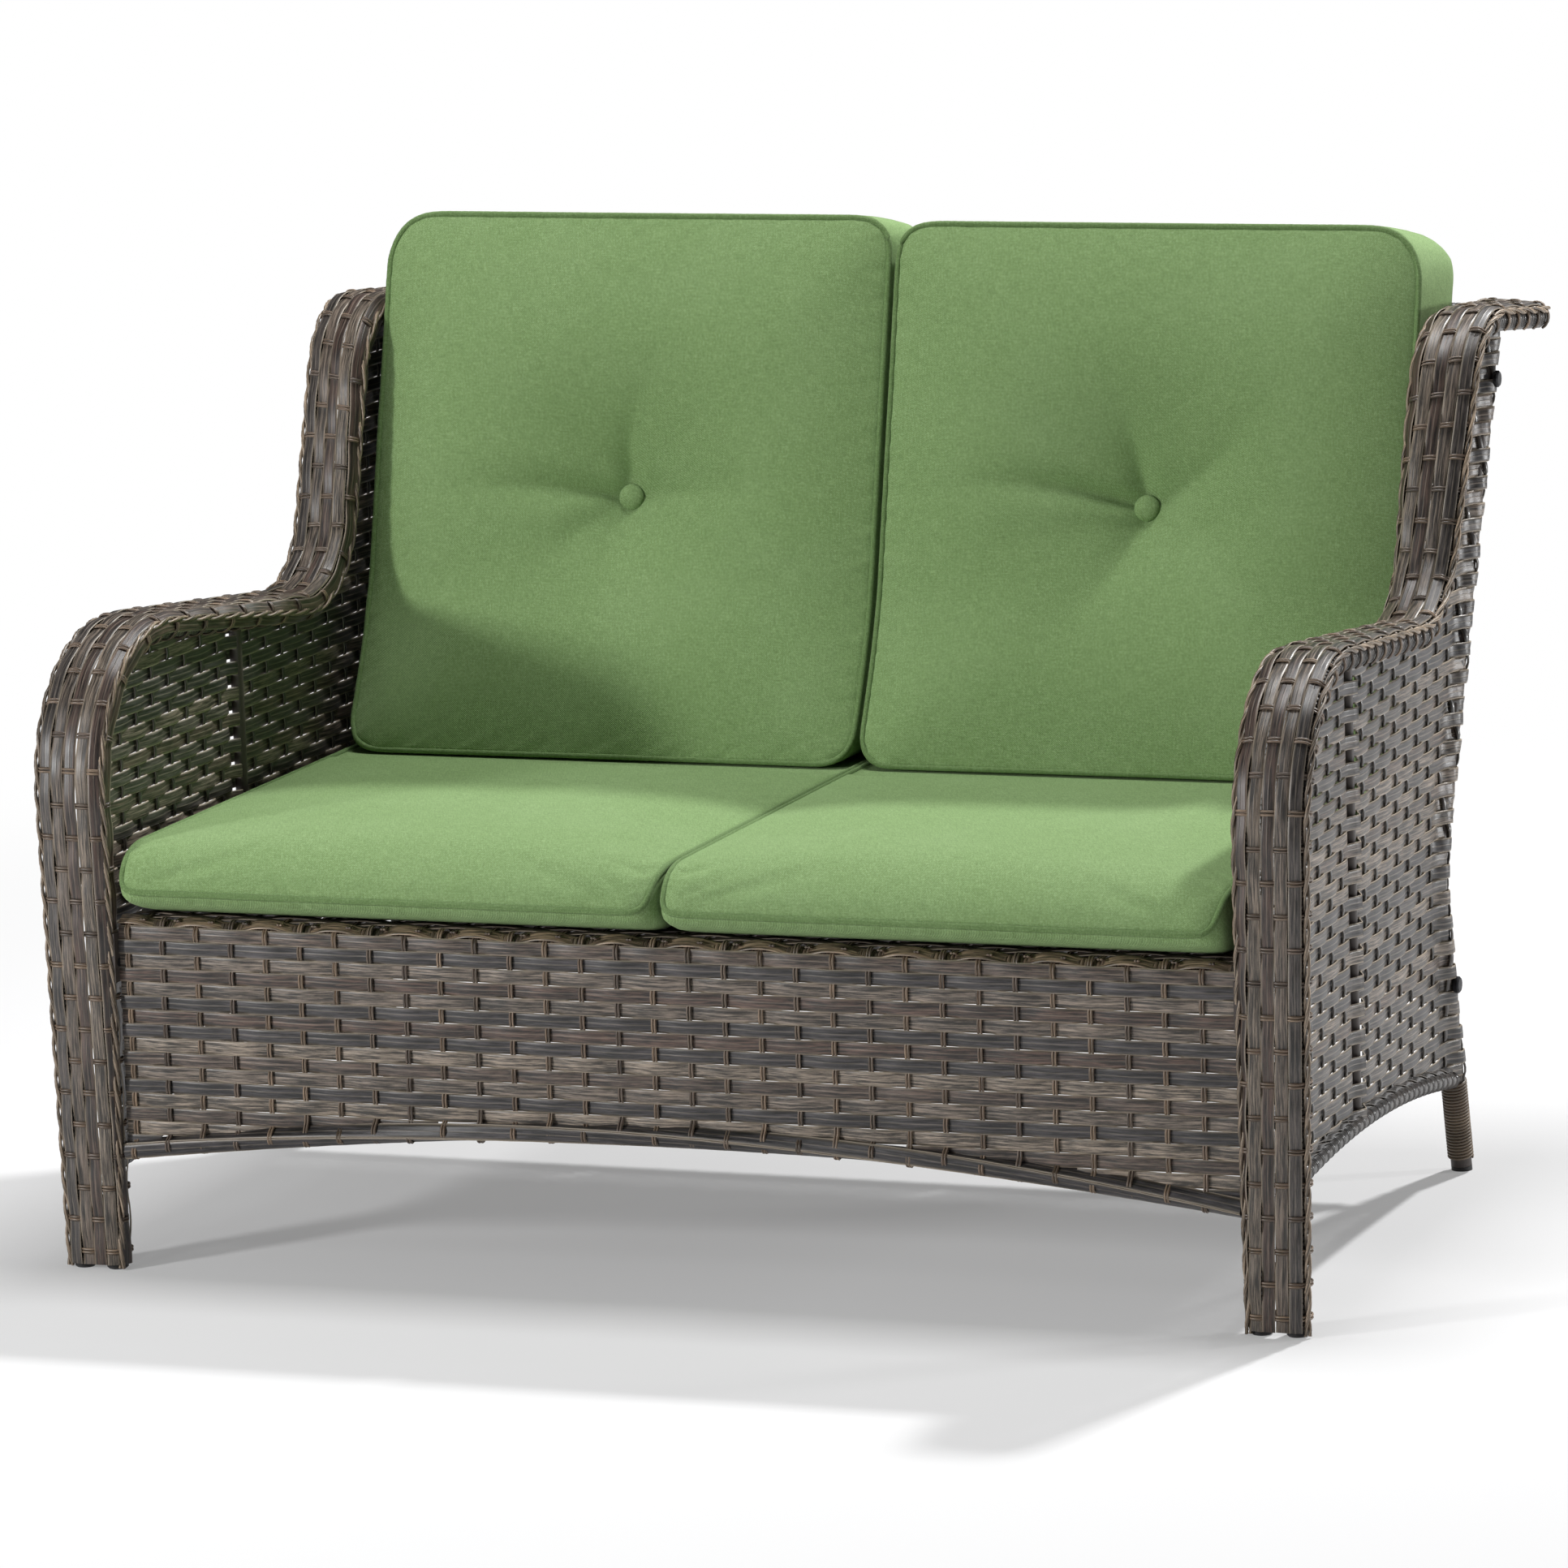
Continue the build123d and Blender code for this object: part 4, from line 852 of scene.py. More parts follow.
def side_guide():
    """The side panel's face, which goes on round the rear post."""
    reach, flats, leave = tube_r + 0.0012, 150, 0.020
    wraps = np.radians(np.arange(-60, 200, 20))
    grid, cloth = [], []
    for z in np.arange(0.088, 0.812, 0.004):
        post = np.interp(z, post_places[:, 2], post_places[:, 1] - leg_y)
        backs = (post - leave) * np.arange(flats) / (flats - 1)
        grid.append([(panel_x(back), leg_y + back, z) for back in backs]
                    + [(0.55 + reach * math.cos(a), leg_y + post + reach * math.sin(a), z) for a in wraps])
        cloth.append([(back, z) for back in backs] + [(post - leave + 0.014 + reach * (a - wraps[0]), z) for a in wraps])
    grid, cloth = np.array(grid), np.array(cloth)
    outline = [(p[1] - leg_y, p[2]) for p in arm_outline]
    outline += [(0.86, 0.80), (0.86, 0.05), (0.75, 0.05)]
    outline += [(back, side_rail_z(back)) for back in np.linspace(0.64, 0, 30)]
    centre = (cloth[:-1, :-1] + cloth[1:, 1:]) / 2
    keep = inside_outline(outline, centre[..., 0], centre[..., 1])
    keep[:, flats - 1:] &= centre[:, flats - 1:, 1] > 0.093
    return sheet_guide(grid, cloth, keep, flip=True)


side_first, side_pitch, side_count = 0.1045, 0.0124, 57
side_stake_first, side_stake_pitch = 0.0201, 0.0363
side_rows = woven(
    "side_rows", side_guide(), (side_first, side_pitch, side_count), (side_stake_first, side_stake_pitch, 22), samples=124,
    start=0.0, run=0.83, lift=0.0022, snap=1.0, rise=0.0002, wander=0.0010, post_place=0.3105, post_reach=0.0088,
    post_width=0.0100, seed=31, **flat_strand(width=0.0133, thickness=0.0014, material=side_paint))
side_stakes = [
    woven(name, side_guide(), (side_stake_first + skipped * side_stake_pitch, side_stake_pitch, threads),
          (cross_first, side_pitch, side_count), samples=170, start=0.088, run=0.72, upright=1.0, lift=-0.0012, snap=1.4,
          wander=0.0010, seed=seed, **flat_strand(width=0.0052, thickness=0.0022, flatness=0.7, material=dark_paint))
    for name, threads, skipped, cross_first, seed in (
        ("side_stakes_front", 8, 0, side_first, 37), ("side_stakes_rear", 13, 9, side_first - side_pitch, 38))
]


def side_rail_line(lift, begin=0.0, end=side_rail_run):
    """The line of the rail under the side weave, or a line above it."""
    return [(panel_x(back), leg_y + back, side_rail_z(back) + lift) for back in np.linspace(begin, end, 50)]


rail_band = dict(threads=1, pitch=0.0165, steps=20.0, seed=43, material=dark_paint)
rail_cord = dict(rail_band, reach=0.0080, width=0.0027, thickness=0.0023, corners=6, flatness=0.9)
side_rail_wraps = [
    wound("rail_band", side_rail_line(0.0), in_x, reach=0.0078, width=0.0112, thickness=0.0013, corners=8, flatness=0.5,
          **rail_band),
    wound("rail_cord", side_rail_line(0.0), in_x, begin=0.41, **rail_cord),
    wound("rail_cord", side_rail_line(0.0), in_x, begin=0.58, **rail_cord),
    wound("rail_laid", side_rail_line(0.0085, 0.012, 0.625), in_x, threads=3, pitch=0.105, steps=22.0, reach=0.0032,
          wander=0.0010, width=0.0068, thickness=0.0014, corners=8, flatness=0.6, seed=47, material=dark_paint),
]
coil_line = [[np.interp(z, post_places[:, 2], axis) for axis in post_places.T] for z in np.linspace(0.0135, 0.092, 40)]
leg_coil_right = wound(
    "leg_coil_right", coil_line, in_x, threads=1, pitch=0.0032, steps=18.0, reach=0.0113, wander=0.0003, width=0.0029,
    thickness=0.0027, corners=8, flatness=1.0, seed=53, material=coil_paint)
side_right = joined("side_wicker_right", [side_rows] + side_stakes + side_rail_wraps)
side_left = swap_sides(twin(side_right, "side_wicker_left"))
leg_coil_left = swap_sides(twin(leg_coil_right, "leg_coil_left"))
for side, panel, coil in (("left", side_left, leg_coil_left), ("right", side_right, leg_coil_right)):
    declare(panel, "frame", "weave", "side_weave_" + side)
    declare(coil, "frame", "cord", "leg_wrap_" + side)


# Back and deck

back_origin = np.array([0, 0.20595, 0.190])
back_up, back_out = np.array([0, 0.2970, 0.9549]), np.array([0, -0.9549, 0.2970])
back_high, upright_x, back_reach = 0.6409, 0.5214, tube_r + 0.0016


def back_guide(around_uprights):
    """The woven back's face: round the uprights for its rows, or over its top and bottom rails for its stakes."""
    def rolled(place, mark, begin, end, leave):
        """Steps round a tube whose middle is at a place, with the cloth's own place from a mark on."""
        angles = np.radians(np.arange(begin, end, 20))
        return [(back_reach * math.cos(a), place + back_reach * math.sin(a), mark + back_reach * (a - math.radians(leave)))
                for a in angles]

    # Each row is its stand-off, height and cloth place; each column is the same along the width
    rows = [(0.0, up, up) for up in np.linspace(0.0, back_high, 50)]
    across = [(0.0, x, x) for x in np.linspace(-upright_x + 0.024, upright_x - 0.024, 61)]
    if around_uprights:
        far_side = rolled(upright_x, upright_x - 0.018, -40, 191, -40)
        across = [(out, -x, -mark) for out, x, mark in reversed(far_side)] + across + far_side
    else:
        rows = rolled(0.0, 0.018, -170, 31, 30)
        rows += [(0.0, up, up) for up in np.linspace(0.024, back_high - 0.024, 40)]
        rows += rolled(back_high, back_high - 0.018, -30, 171, -30)
    grid = [[back_origin + back_up * up + np.array([x, 0, 0]) + back_out * (out + x_out) for x_out, x, _ in across]
            for out, up, _ in rows]
    cloth = [[(mark, v) for _, _, mark in across] for _, _, v in rows]
    return sheet_guide(np.array(grid), np.array(cloth))


back_stake_pitch = 0.0344
back_row_first, back_row_pitch = 0.0165, 0.0130
back_rows = woven(
    "back_rows", back_guide(True), (back_row_first, back_row_pitch, 48), (-14 * back_stake_pitch, back_stake_pitch, 29),
    samples=165, start=-0.548, run=1.096, lift=0.0020, snap=1.1, wander=0.0010, post_place=5 * back_stake_pitch,
    post_reach=0.0090, post_width=0.0105, seed=61, **flat_strand(width=0.0138, corners=6))
back_stakes = [
    woven("back_stakes", back_guide(False), (first * back_stake_pitch, back_stake_pitch, 9),
          (back_row_first, back_row_pitch, 50), samples=160, start=-0.030, run=0.702, lift=-0.0016, snap=1.4,
          wander=0.0008, seed=67, **twin_cords())
    for first in (-14, -4, 6)
]
back_wraps = [
    tube_wrap(name, [back_origin + back_up * up + np.array([x, 0, 0]) for x in np.linspace(-half, half, 3)], in_y,
              reach=0.0104, width=0.0054, seed=seed)
    for name, up, half, seed in (("top_rail_wrap", back_high, 0.536, 71), ("bottom_rail_wrap", 0.0, 0.520, 73))
]
back_wicker = joined("back_wicker", [back_rows] + back_stakes)
back_wicker_wraps = joined("back_rail_wraps", back_wraps)

deck_z, deck_half, deck_front, deck_rear = 0.3302, 0.5355, -0.397, 0.2346


def deck_guide():
    """The woven deck's face."""
    xs, ys = np.linspace(-deck_half, deck_half, 31), np.linspace(deck_front, deck_rear, 21)
    grid = [[(x, y, deck_z) for x in xs] for y in ys]
    cloth = [[(x, y - deck_front) for x in xs] for y in ys]
    return sheet_guide(np.array(grid), np.array(cloth))


deck_lines, deck_stake_lines = (0.020, 0.0132, 46), (-15 * back_stake_pitch, back_stake_pitch, 31)
deck_rows = woven(
    "deck_rows", deck_guide(), deck_lines, deck_stake_lines, samples=125, start=-deck_half, run=2 * deck_half,
    lift=0.0012, snap=1.1, wander=0.0010, seed=79, **flat_strand(corners=6))
deck_stakes = woven(
    "deck_stakes", deck_guide(), deck_stake_lines, deck_lines, samples=93, start=0.0, run=deck_rear - deck_front,
    lift=-0.0010, snap=1.4, wander=0.0008, seed=83, **twin_cords(thickness=0.0018))
deck_wicker = joined("deck_wicker", [deck_rows, deck_stakes])
declare(back_wicker, "frame", "weave", "back_weave")
declare(back_wicker_wraps, "frame", "cord")
declare(deck_wicker, "frame", "weave", "deck_weave")


# Cushions

def rounded_ring(width, height, corners):
    """Points round a rectangle with its own radius at each corner, anticlockwise from the low left."""
    centres = [(corners[0], corners[0]), (width - corners[1], corners[1]),
               (width - corners[2], height - corners[2]), (corners[3], height - corners[3])]
    dense = [(x + radius * math.cos(a), y + radius * math.sin(a))
             for (x, y), begin, radius in zip(centres, (180, 270, 0, 90), corners)
             for a in np.radians(np.linspace(begin, begin + 90, 14))]
    return spaced(np.array(dense + dense[:1]), 144)


def smooth_loop(points, spacing, passes=6):
    """A closed line with even steps and its kinks eased."""
    ring = np.concatenate([points, points[:1]])
    even = spaced(ring, int(path_length(ring)[-1] / spacing))
    for _ in range(passes):
        even = even * 0.5 + (np.roll(even, 1, axis=0) + np.roll(even, -1, axis=0)) * 0.25
    return even


def ring_solid(name, rings, low, high):
    """A closed solid through a stack of rings, its two ends filled to a point each."""
    count = len(rings[0])
    points = np.concatenate(rings + [[low], [high]])
    top = (len(rings) - 1) * count
    faces = []
    for i in range(count):
        j = (i + 1) % count
        faces += [(a + i, a + j, a + count + j, a + count + i) for a in range(0, top, count)]
        faces += [(len(points) - 2, j, i), (len(points) - 1, top + i, top + j)]
    return mesh_object(name, points, faces)


def points_of(obj):
    """The object's points as an array."""
    flat = np.zeros(len(obj.data.vertices) * 3)
    obj.data.vertices.foreach_get("co", flat)
    return flat.reshape(-1, 3)


def set_points(obj, points):
    """Give the object's points new places."""
    obj.data.vertices.foreach_set("co", np.asarray(points, float).ravel())
    obj.data.update()


def nearest_distance(points, line):
    """Distance from each point to the nearest of a line's places."""
    out = np.full(len(points), 1e9)
    for start in range(0, len(line), 64):
        part = line[start:start + 64]
        out = np.minimum(out, np.sqrt(((points[:, None] - part[None]) ** 2).sum(-1)).min(1))
    return out


def voxelled(block, name, voxel):
    """The block in even faces."""
    remesh = block.modifiers.new("remesh", "REMESH")
    remesh.mode, remesh.voxel_size = "VOXEL", voxel
    return evaluated_copy(block, name)


def finer(obj, name):
    """The object with each face split in four and smoothed."""
    split = obj.modifiers.new("finer", "SUBSURF")
    split.levels = split.render_levels = 1
    piece = evaluated_copy(obj, name)
    piece.data.shade_smooth()
    return piece


def stuffed(block, name, voxel, held, limit, fence):
    """Remesh a cushion's block, blow it up as cloth with its seams held, and smooth it."""
    shell = voxelled(block, name, voxel)
    rest = points_of(shell)
    weight = held(rest)
    group = shell.vertex_groups.new(name="held")
    for index in np.nonzero(weight > 0.01)[0]:
        group.add([int(index)], float(weight[index]), "REPLACE")
    cloth = shell.modifiers.new("cloth", "CLOTH")
    for key, value in {
        "quality": 5, "mass": 0.3, "tension_stiffness": 12, "compression_stiffness": 8, "shear_stiffness": 4,
        "bending_stiffness": 0.6, "use_pressure": True, "uniform_pressure_force": 4, "vertex_group_mass": "held",
    }.items():
        setattr(cloth.settings, key, value)
    cloth.settings.effector_weights.gravity = 0
    cloth.collision_settings.use_collision = False
    cloth.point_cache.frame_start, cloth.point_cache.frame_end = 1, 20
    for frame_number in range(1, 21):
        bpy.context.scene.frame_set(frame_number)
    moved = points_of(shell.evaluated_get(bpy.context.evaluated_depsgraph_get())) - rest
    shell.modifiers.clear()
    bpy.context.scene.frame_set(1)
    length = np.linalg.norm(moved, axis=1, keepdims=True)
    moved *= np.minimum(1, limit / np.maximum(length, 1e-9))
    set_points(shell, fence(rest + moved, rest))
    shell.vertex_groups.clear()
    return finer(shell, name)


def sewn(points, seam, most=1.6):
    """How firmly cloth is held by a seam."""
    return np.clip(most - nearest_distance(points, seam) / 0.006, 0, 1)


def seam_pucker(points, seam, seed, size):
    """Small gathers of the cloth beside a seam."""
    away = nearest_distance(points, seam)
    travel = points @ np.array([61.0, 83.0, 97.0]) + seed
    ripple = np.sin(travel * 2.1) * 0.5 + np.sin(travel * 3.7 + 1.3) * 0.35 + np.sin(travel * 5.9 + 0.4) * 0.25
    near_seam = np.clip((away - 0.003) / 0.006, 0, 1) * np.exp(-(away / 0.022) ** 1.5)
    return size * ripple * near_seam


lean = math.radians(14.5)
front_tan, rear_tan = math.tan(lean), 172.0 / 553.0
back_low_z, back_high_z = 0.3975, 0.896
back_left_x, back_right_x = 0.003, 0.526
front_out = np.array([0, -math.cos(lean), math.sin(lean)])
front_up = np.array([0, math.sin(lean), math.cos(lean)])


def back_front_y(z):
    """Front seam plane of a back cushion, slumped forward at its foot."""
    slumped = np.clip((0.56 - np.asarray(z)) / 0.16, 0, 1) ** 1.6
    return leg_y + 0.5995 + (z - 0.637) * front_tan - 0.036 * slumped


def back_rear_y(z):
    """Rear face of a back cushion."""
    return leg_y + 0.6065 + (z - 0.190) * rear_tan - 0.0157


def back_ring(inset, depth, lift=0.0):
    """Outline of the back cushion between front seam and rear face, drawn in by an inset."""
    height = back_high_z - back_low_z
    corners = [max(least, corner - inset * 0.3)
               for least, corner in ((0.012, 0.026), (0.012, 0.026), (0.02, 0.046), (0.014, 0.030))]
    flat = rounded_ring(back_right_x - back_left_x - 2 * inset, height - 2 * inset, corners)
    share = (flat[:, 1] + inset) / height
    share = share - 0.050 * depth * np.clip((share - 0.75) / 0.25, 0, 1) ** 1.5
    z = back_low_z + height * share
    y = back_front_y(z) * (1 - depth) + back_rear_y(z) * depth
    return np.column_stack([flat[:, 0] + back_left_x + inset, y, z]) + front_out * lift


button_x, button_z = 0.263, 0.641
button_seat = np.array([button_x, back_front_y(button_z), button_z])


def from_button(points):
    """How far points lie from the button's axis to the side and up, and how far in front of its seat."""
    return points[:, 0] - button_x, (points - button_seat) @ front_up, (points - button_seat) @ front_out


def fold_depth(points, folds):
    """How deep the folds are that run out from the button."""
    x, up, _ = from_button(points)
    reach, angle = np.hypot(x, up), np.arctan2(up, x)
    depth = np.zeros(len(points))
    for heading, width, strength, length in folds:
        bend = math.radians(heading) + 0.25 * math.sin(heading) * (reach / length)
        turn = np.abs((angle - bend + math.pi) % (2 * math.pi) - math.pi) * np.maximum(reach, 0.010)
        spread = width * (0.55 + 0.9 * reach / length)
        valley = np.exp(-(turn / spread) ** 1.5)
        shoulder = np.exp(-((turn - 2.2 * spread) / (1.4 * spread)) ** 2)
        fade = np.clip(reach / 0.016, 0, 1) * np.exp(-(reach / length) ** 2.2)
        depth += strength * fade * (valley - 0.25 * shoulder)
    return depth


def rounded_rise(inset, height, width, power):
    """Height of a crown at a distance in from its edge."""
    return height * (1 - (1 - min(1, inset / width)) ** power)


def back_cushion(name):
    """One back cushion on the right of the middle: boxed, crowned and pulled in at its button."""
    seam, rear_seam = back_ring(0, 0.0), back_ring(0.004, 0.97)
    rings = [back_ring(inset, depth) for inset, depth in (
        (0.010, 1.0), (0.003, 0.92), (-0.001, 0.7), (-0.0012, 0.4), (-0.0005, 0.15), (0, 0.0))]
    rings += [back_ring(inset, 0.0, rounded_rise(inset, 0.026, 0.17, 2.6))
              for inset in (0.008, 0.02, 0.035, 0.055, 0.08, 0.11, 0.14, 0.17, 0.20, 0.225)]

    def held(points):
        """The seams and the button hold the cloth."""
        x, up, ahead = from_button(points)
        button = np.where(ahead > -0.06, np.clip((0.020 - np.hypot(x, up)) / 0.006, 0, 1), 0)
        return np.maximum.reduce([sewn(points, seam), sewn(points, rear_seam), button])

    def fence(points, rest):
        """The other cushion, the arm, the seat and the woven back keep the cushion in."""
        points[:, 0] = np.clip(points[:, 0], 0.0016, back_right_x + 0.007)
        points[:, 2] = np.maximum(points[:, 2], np.minimum(rest[:, 2], back_low_z + 0.0005))
        points[:, 1] = np.minimum(points[:, 1], back_rear_y(points[:, 2]) + 0.003)
        return points

    # The hollow goes in before the block is blown up
    dented = voxelled(ring_solid(name, rings, rings[0].mean(axis=0), rings[-1].mean(axis=0)), name + "_dented", 0.0064)
    points = points_of(dented)
    x, up, ahead = from_button(points)
    reach = np.hypot(x, up)
    hollow = 0.034 * np.exp(-(reach / 0.052) ** 1.1) + 0.018 * np.exp(-(reach / 0.120) ** 2)
    set_points(dented, points - front_out * (np.clip((ahead + 0.010) / 0.012, 0, 1) * hollow)[:, None])
    return stuffed(dented, name, 0.0064, held, 0.024, fence), seam


# Heading, width, depth and length of each fold; the left cushion's headings are seen on its mirrored twin
back_folds = {
    "right": [(164, 0.009, 0.0085, 0.130), (97, 0.011, 0.0060, 0.085), (20, 0.013, 0.0042, 0.115),
              (-102, 0.015, 0.0045, 0.110)],
    "left": [(6, 0.011, 0.0080, 0.125), (83, 0.011, 0.0060, 0.090), (176, 0.013, 0.0038, 0.120),
             (-34, 0.014, 0.0032, 0.100), (-72, 0.015, 0.0030, 0.085)],
}
gather_seeds = {"left": (1.7, 2.9), "right": (4.2, 5.1)}
top_lifts = {"left": 0.011, "right": 0.006}


def raised(points, side):
    """Points of a back cushion with its top brought up; the left one stands a little taller."""
    lift = top_lifts[side] * np.clip((points[:, 2] - 0.60) / 0.29, 0, 1) ** 1.5
    return points + lift[:, None] * np.array([0, front_tan, 1])


seat_low_z, seat_welt_z, seat_edge_z = 0.3328, 0.3610, 0.3995
seat_inner_x, seat_outer_x = 0.002, 0.532
seat_front_y, seat_rear_y = leg_y - 0.028, leg_y + 0.633


def seat_ring(z, side_in, front_in, rear_in, corner):
    """Outline of the seat cushion at one height."""
    width = seat_outer_x - seat_inner_x - 2 * side_in
    flat = rounded_ring(width, seat_rear_y - seat_front_y - front_in - rear_in, (corner,) * 4)
    return np.column_stack([flat + (seat_inner_x + side_in, seat_front_y + front_in), np.full(len(flat), z)])


def seat_seam():
    """The welt all round the seat cushion's top panel, as one closed line."""
    high, left, corner, rear_corner = seat_edge_z - 0.0035, seat_inner_x + 0.001, 0.016, 0.030
    inner = [(left, seat_rear_y - 0.03, high)]
    inner += [(left, y, high) for y in np.linspace(seat_rear_y - 0.06, seat_front_y + 0.075, 30)]
    drop = high - 0.001 - seat_welt_z
    inner += [(left, seat_front_y + 0.066 - 0.062 * math.sin(a), seat_welt_z + 0.001 + drop * math.cos(a))
              for a in np.radians(np.linspace(8, 90, 16))]
    inner += [(seat_inner_x + corner * (1 - math.cos(a)), seat_front_y + 0.005 - 0.004 * math.sin(a), seat_welt_z)
              for a in np.radians(np.linspace(10, 90, 7))]
    front = [(x, seat_front_y + 0.001, seat_welt_z)
             for x in np.linspace(seat_inner_x + corner + 0.01, seat_outer_x - corner - 0.01, 40)]
    rear = [(x, seat_rear_y - 0.002, high)
            for x in np.linspace(seat_outer_x - rear_corner - 0.02, seat_inner_x + rear_corner + 0.02, 36)]
    turned = [(left + rear_corner * (1 - math.cos(a)), seat_rear_y - rear_corner - 0.002 + rear_corner * math.sin(a),
               high) for a in np.radians(np.linspace(90, 0, 8))]
    outer, far_corner = (
        [(seat_inner_x + seat_outer_x - x, y, z) for x, y, z in reversed(part)] for part in (inner, turned))
    return np.array(inner + front + outer + far_corner + rear + turned)


def seat_cushion(name):
    """One seat cushion on the right of the middle, its front rolled down to a low welt."""
    rings = [seat_ring(*sizes) for sizes in (
        (seat_low_z, 0.010, 0.066, 0.006, 0.014), (0.3355, 0.005, 0.050, 0.002, 0.014),
        (0.342, 0.002, 0.030, 0.001, 0.015), (0.350, 0, 0.011, 0, 0.017), (seat_welt_z, 0, 0, 0, 0.022),
        (0.369, 0, 0.0030, 0, 0.022), (0.381, 0, 0.011, 0, 0.022), (0.391, 0, 0.023, 0, 0.022),
        (0.3965, 0.0005, 0.036, 0.001, 0.022), (seat_edge_z, 0.003, 0.050, 0.004, 0.024))]
    rings += [seat_ring(seat_edge_z + rounded_rise(inset, 0.007, 0.18, 2), inset, 0.050 + inset, inset + 0.004, 0.03)
              for inset in (0.012, 0.025, 0.045, 0.07, 0.10, 0.14, 0.18, 0.22, 0.25)]
    seam = smooth_loop(seat_seam(), 0.006)

    def held(points):
        """The welt, the deck and the back cushion hold the cloth."""
        under = np.clip((0.341 - points[:, 2]) / 0.004, 0, 1)
        under_back = np.clip((points[:, 1] - 0.115) / 0.02, 0, 1) * (points[:, 2] > 0.37)
        return np.maximum.reduce([sewn(points, seam, 1.5), under, under_back])

    def fence(points, rest):
        """The arms, the deck and the back cushion keep the cushion in."""
        points[:, 0] = np.clip(points[:, 0], 0.0012, seat_outer_x + 0.004)
        points[:, 1] = np.clip(points[:, 1], seat_front_y - 0.006, seat_rear_y + 0.001)
        points[:, 2] = np.clip(points[:, 2], np.minimum(rest[:, 2], seat_low_z), 0.4165)
        return points

    block = ring_solid(name, rings, rings[0].mean(axis=0), rings[-1].mean(axis=0))
    return stuffed(block, name, 0.0063, held, 0.022, fence), seam


def laid_on(piece, loop, stand):
    """A closed line brought onto a cushion's surface and raised a little from it."""
    tree = BVHTree.FromObject(piece, bpy.context.evaluated_depsgraph_get())
    places, outward_now, _, _ = zip(*(tree.find_nearest(Vector(spot)) for spot in loop))
    outward_now = np.array(outward_now)
    for _ in range(4):
        outward_now = unit(outward_now * 2 + np.roll(outward_now, 1, axis=0) + np.roll(outward_now, -1, axis=0))
    return smooth_loop(np.array(places) + outward_now * stand, 0.005, 3)


def piping(name, loop):
    """A covered cord sewn along a closed seam."""
    return wound(name, np.concatenate([loop, loop[:1]]), (0.3, 0.2, 1), threads=1, pitch=0.08, steps=20.0, reach=0.0,
                 width=0.0060, thickness=0.0060, corners=10, flatness=1.0, seed=41, material=piping_cloth)


def covered_button(name, cushion):
    """A cloth-covered button, domed, with a turned edge, that stands off the cushion's front."""
    tree = BVHTree.FromObject(cushion, bpy.context.evaluated_depsgraph_get())
    ahead, stand = 0.08, 0.0042
    travel = tree.ray_cast(Vector(button_seat + front_out * ahead), Vector(-front_out))[3]
    centre = button_seat - front_out * (travel - ahead - stand)
    rings = [
        [centre + front_out * rise + radius * (np.array([math.cos(a), 0, 0]) + front_up * math.sin(a))
         for a in np.linspace(0, 2 * math.pi, 28, endpoint=False)]
        for radius, rise in ((0.0102, -0.0026), (0.0122, -0.0017), (0.0130, 0.0), (0.0122, 0.0017), (0.0102, 0.0036),
                             (0.0072, 0.0052), (0.0036, 0.0060))
    ]
    button = finer(ring_solid(name, rings, centre - front_out * 0.0028, centre + front_out * 0.0062), name)
    button.data.materials.append(cushion_cloth)
    return button


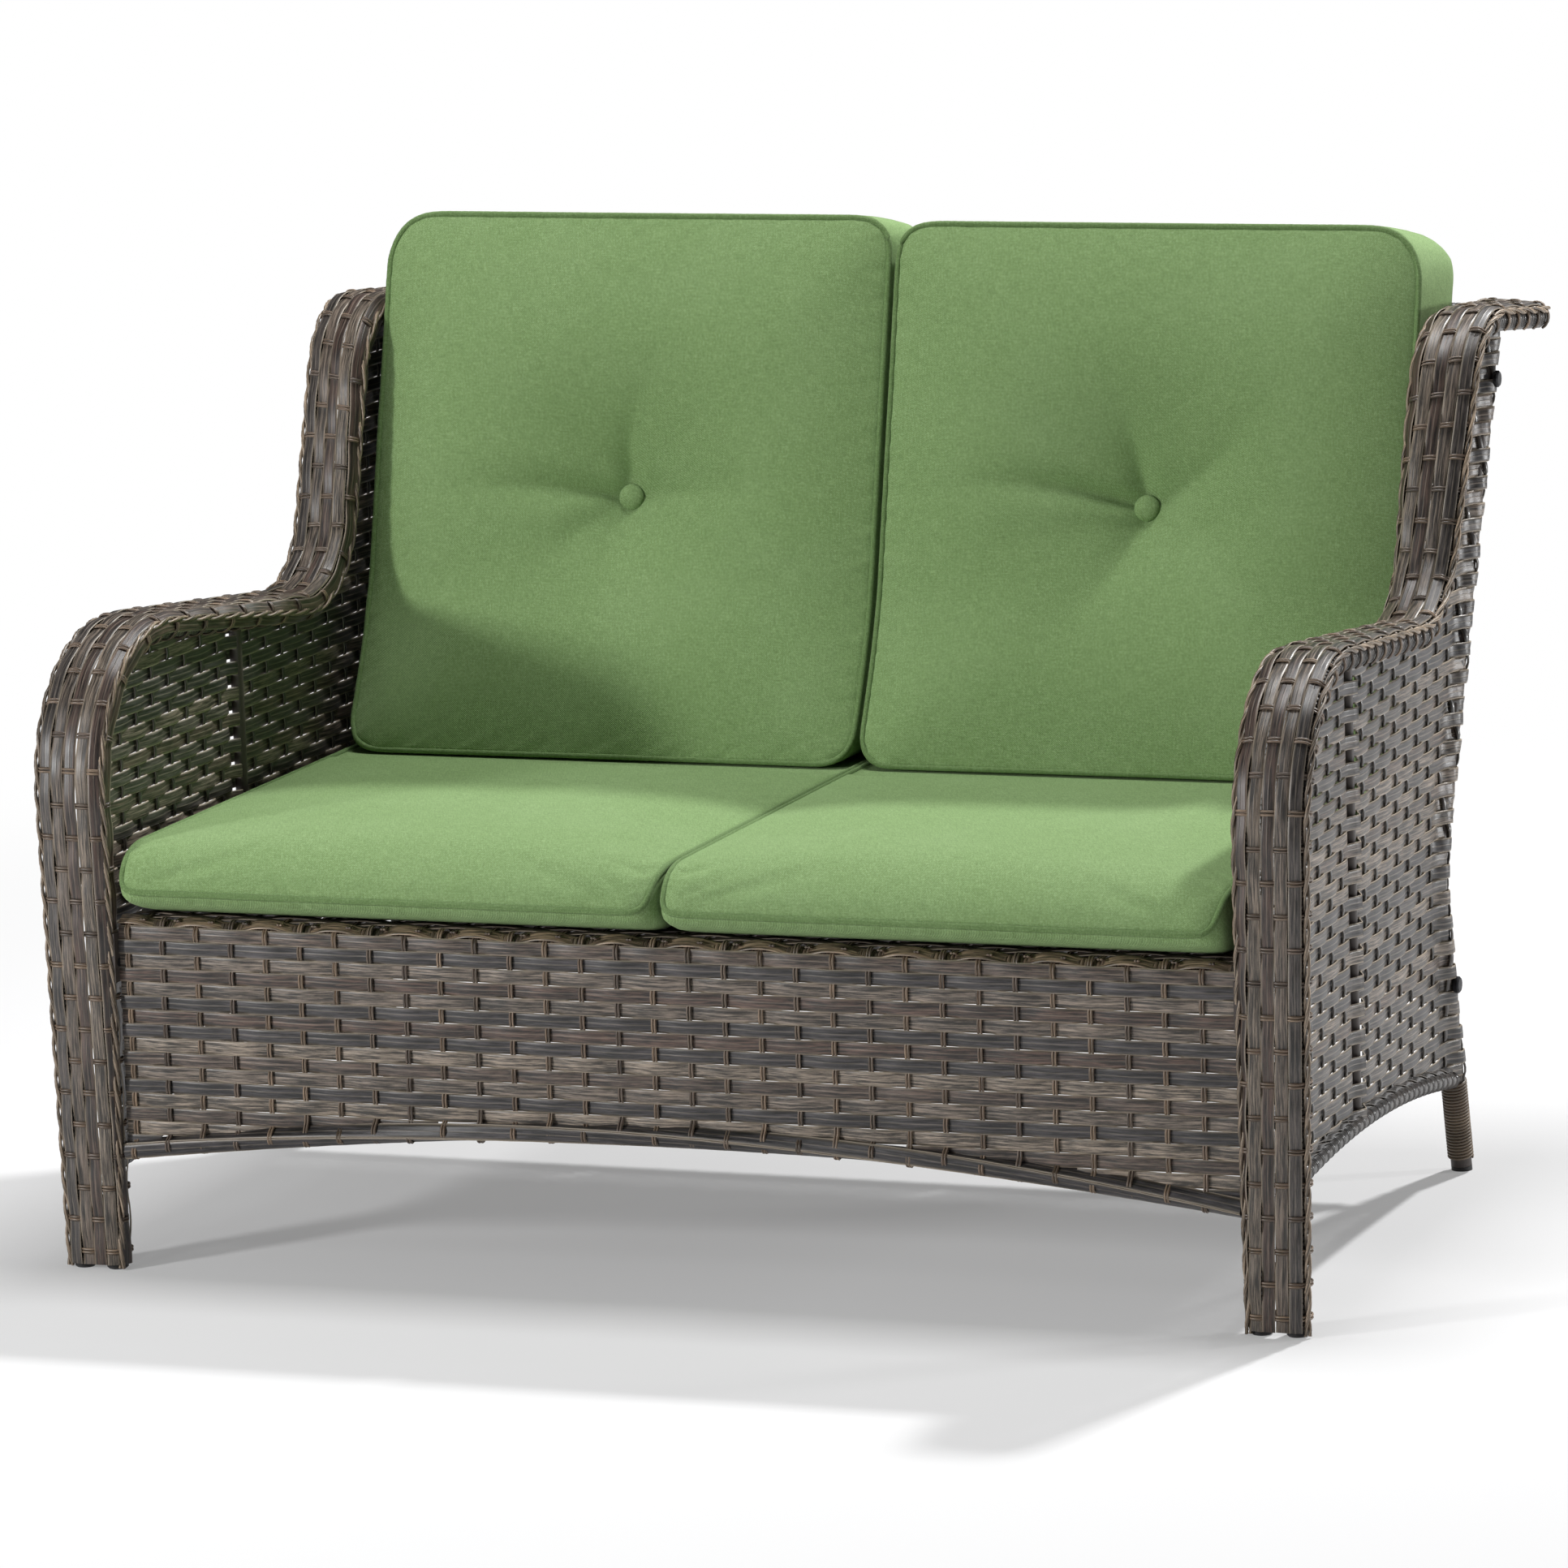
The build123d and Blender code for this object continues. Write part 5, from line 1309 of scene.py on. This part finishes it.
blown_back, back_seam = back_cushion("blown_back")
blown_seat, seat_line = seat_cushion("blown_seat")
for side in ("left", "right"):
    back_seed, seat_seed = gather_seeds[side]
    back = twin(blown_back, "back_cushion_pad_" + side)
    points = points_of(back)
    front = np.clip((from_button(points)[2] + 0.045) / 0.020, 0, 1)
    depth = front * fold_depth(points, back_folds[side]) + seam_pucker(points, back_seam, back_seed, 0.0007)
    set_points(back, raised(points - front_out * depth[:, None], side))
    button = covered_button("button_" + side, back)
    welt = piping("back_piping_" + side, laid_on(back, smooth_loop(raised(back_seam, side), 0.006, 2), 0.0010))
    seat = twin(blown_seat, "seat_cushion_pad_" + side)
    points = points_of(seat)
    points[:, 2] -= seam_pucker(points, seat_line, seat_seed, 0.0006)
    # The back cushion that stands on the seat's rear presses it down
    pressed = 0.3962 + 0.024 * np.clip((0.085 - points[:, 1]) / 0.11, 0, 1) ** 1.3
    points[:, 2] = np.minimum(points[:, 2], pressed)
    set_points(seat, points)
    seat_welt = piping("seat_piping_" + side, laid_on(seat, seat_line, 0.0006))
    for pad in (back, seat):
        pad.data.materials.clear()
        pad.data.materials.append(cushion_cloth)
    for piece, body, replaced in (
        (back, "back", ("back_cushion_", "back_fill_")), (button, "back", ("back_button_",)), (welt, "back", ()),
        (seat, "seat", ("seat_cushion_", "seat_core_")), (seat_welt, "seat", ()),
    ):
        if side == "left":
            swap_sides(piece)
        declare(piece, body + "_cushion_" + side, "cushion_fabric", *(node + side for node in replaced))
for spare in (blown_back, blown_seat):
    bpy.data.objects.remove(spare)


# Floor

floor = mesh_object("floor", [(-30, -30, 0), (30, -30, 0), (30, 30, 0), (-30, 30, 0)], [(0, 1, 2, 3)])
floor_paint = bpy.data.materials.new("floor")
floor_paint.use_nodes = True
floor_tree = floor_paint.node_tree
floor_shader = floor_tree.nodes["Principled BSDF"]
for key, value in {"Base Color": (0.78, 0.78, 0.785, 1), "Roughness": 0.7, "Specular IOR Level": 0.2}.items():
    floor_shader.inputs[key].default_value = value

# The pale floor runs out into the white background as the camera sees it
away = maths("LENGTH", node_value(floor_tree, "ShaderNodeTexCoord", output="Object"))
spread = node_value(
    floor_tree, "ShaderNodeMapRange", {"Value": away, "From Min": 1.1, "From Max": 2.6}, interpolation_type="SMOOTHSTEP")
camera_ray, glossy_ray, clear_ray = (
    node_value(floor_tree, "ShaderNodeLightPath", output=f"Is {kind} Ray")
    for kind in ("Camera", "Glossy", "Transmission"))
seen = maths("ADD", camera_ray, glossy_ray + clear_ray, clamp=True)
glow = node_value(floor_tree, "ShaderNodeEmission", {"Color": (1, 1, 1, 1), "Strength": 1.0})
blend = node_value(floor_tree, "ShaderNodeMixShader", {
    0: (0.25 + spread * 0.75) * seen, 1: Value(floor_shader.outputs[0]), 2: glow,
})
feed(floor_tree.nodes["Material Output"].inputs["Surface"], blend)
floor.data.materials.append(floor_paint)

world = bpy.data.worlds.new("world")
bpy.context.scene.world = world
world.use_nodes = True
sky = world.node_tree
lit = sky.nodes["Background"]
lit.inputs["Color"].default_value = (1, 1, 1, 1)
lit.inputs["Strength"].default_value = 0.09
shown = node_value(sky, "ShaderNodeBackground", {"Color": (1, 1, 1, 1), "Strength": 1.0})
camera_ray = node_value(sky, "ShaderNodeLightPath", output="Is Camera Ray")
blend = node_value(sky, "ShaderNodeMixShader", {0: camera_ray, 1: Value(lit.outputs[0]), 2: shown})
feed(sky.nodes["World Output"].inputs["Surface"], blend)
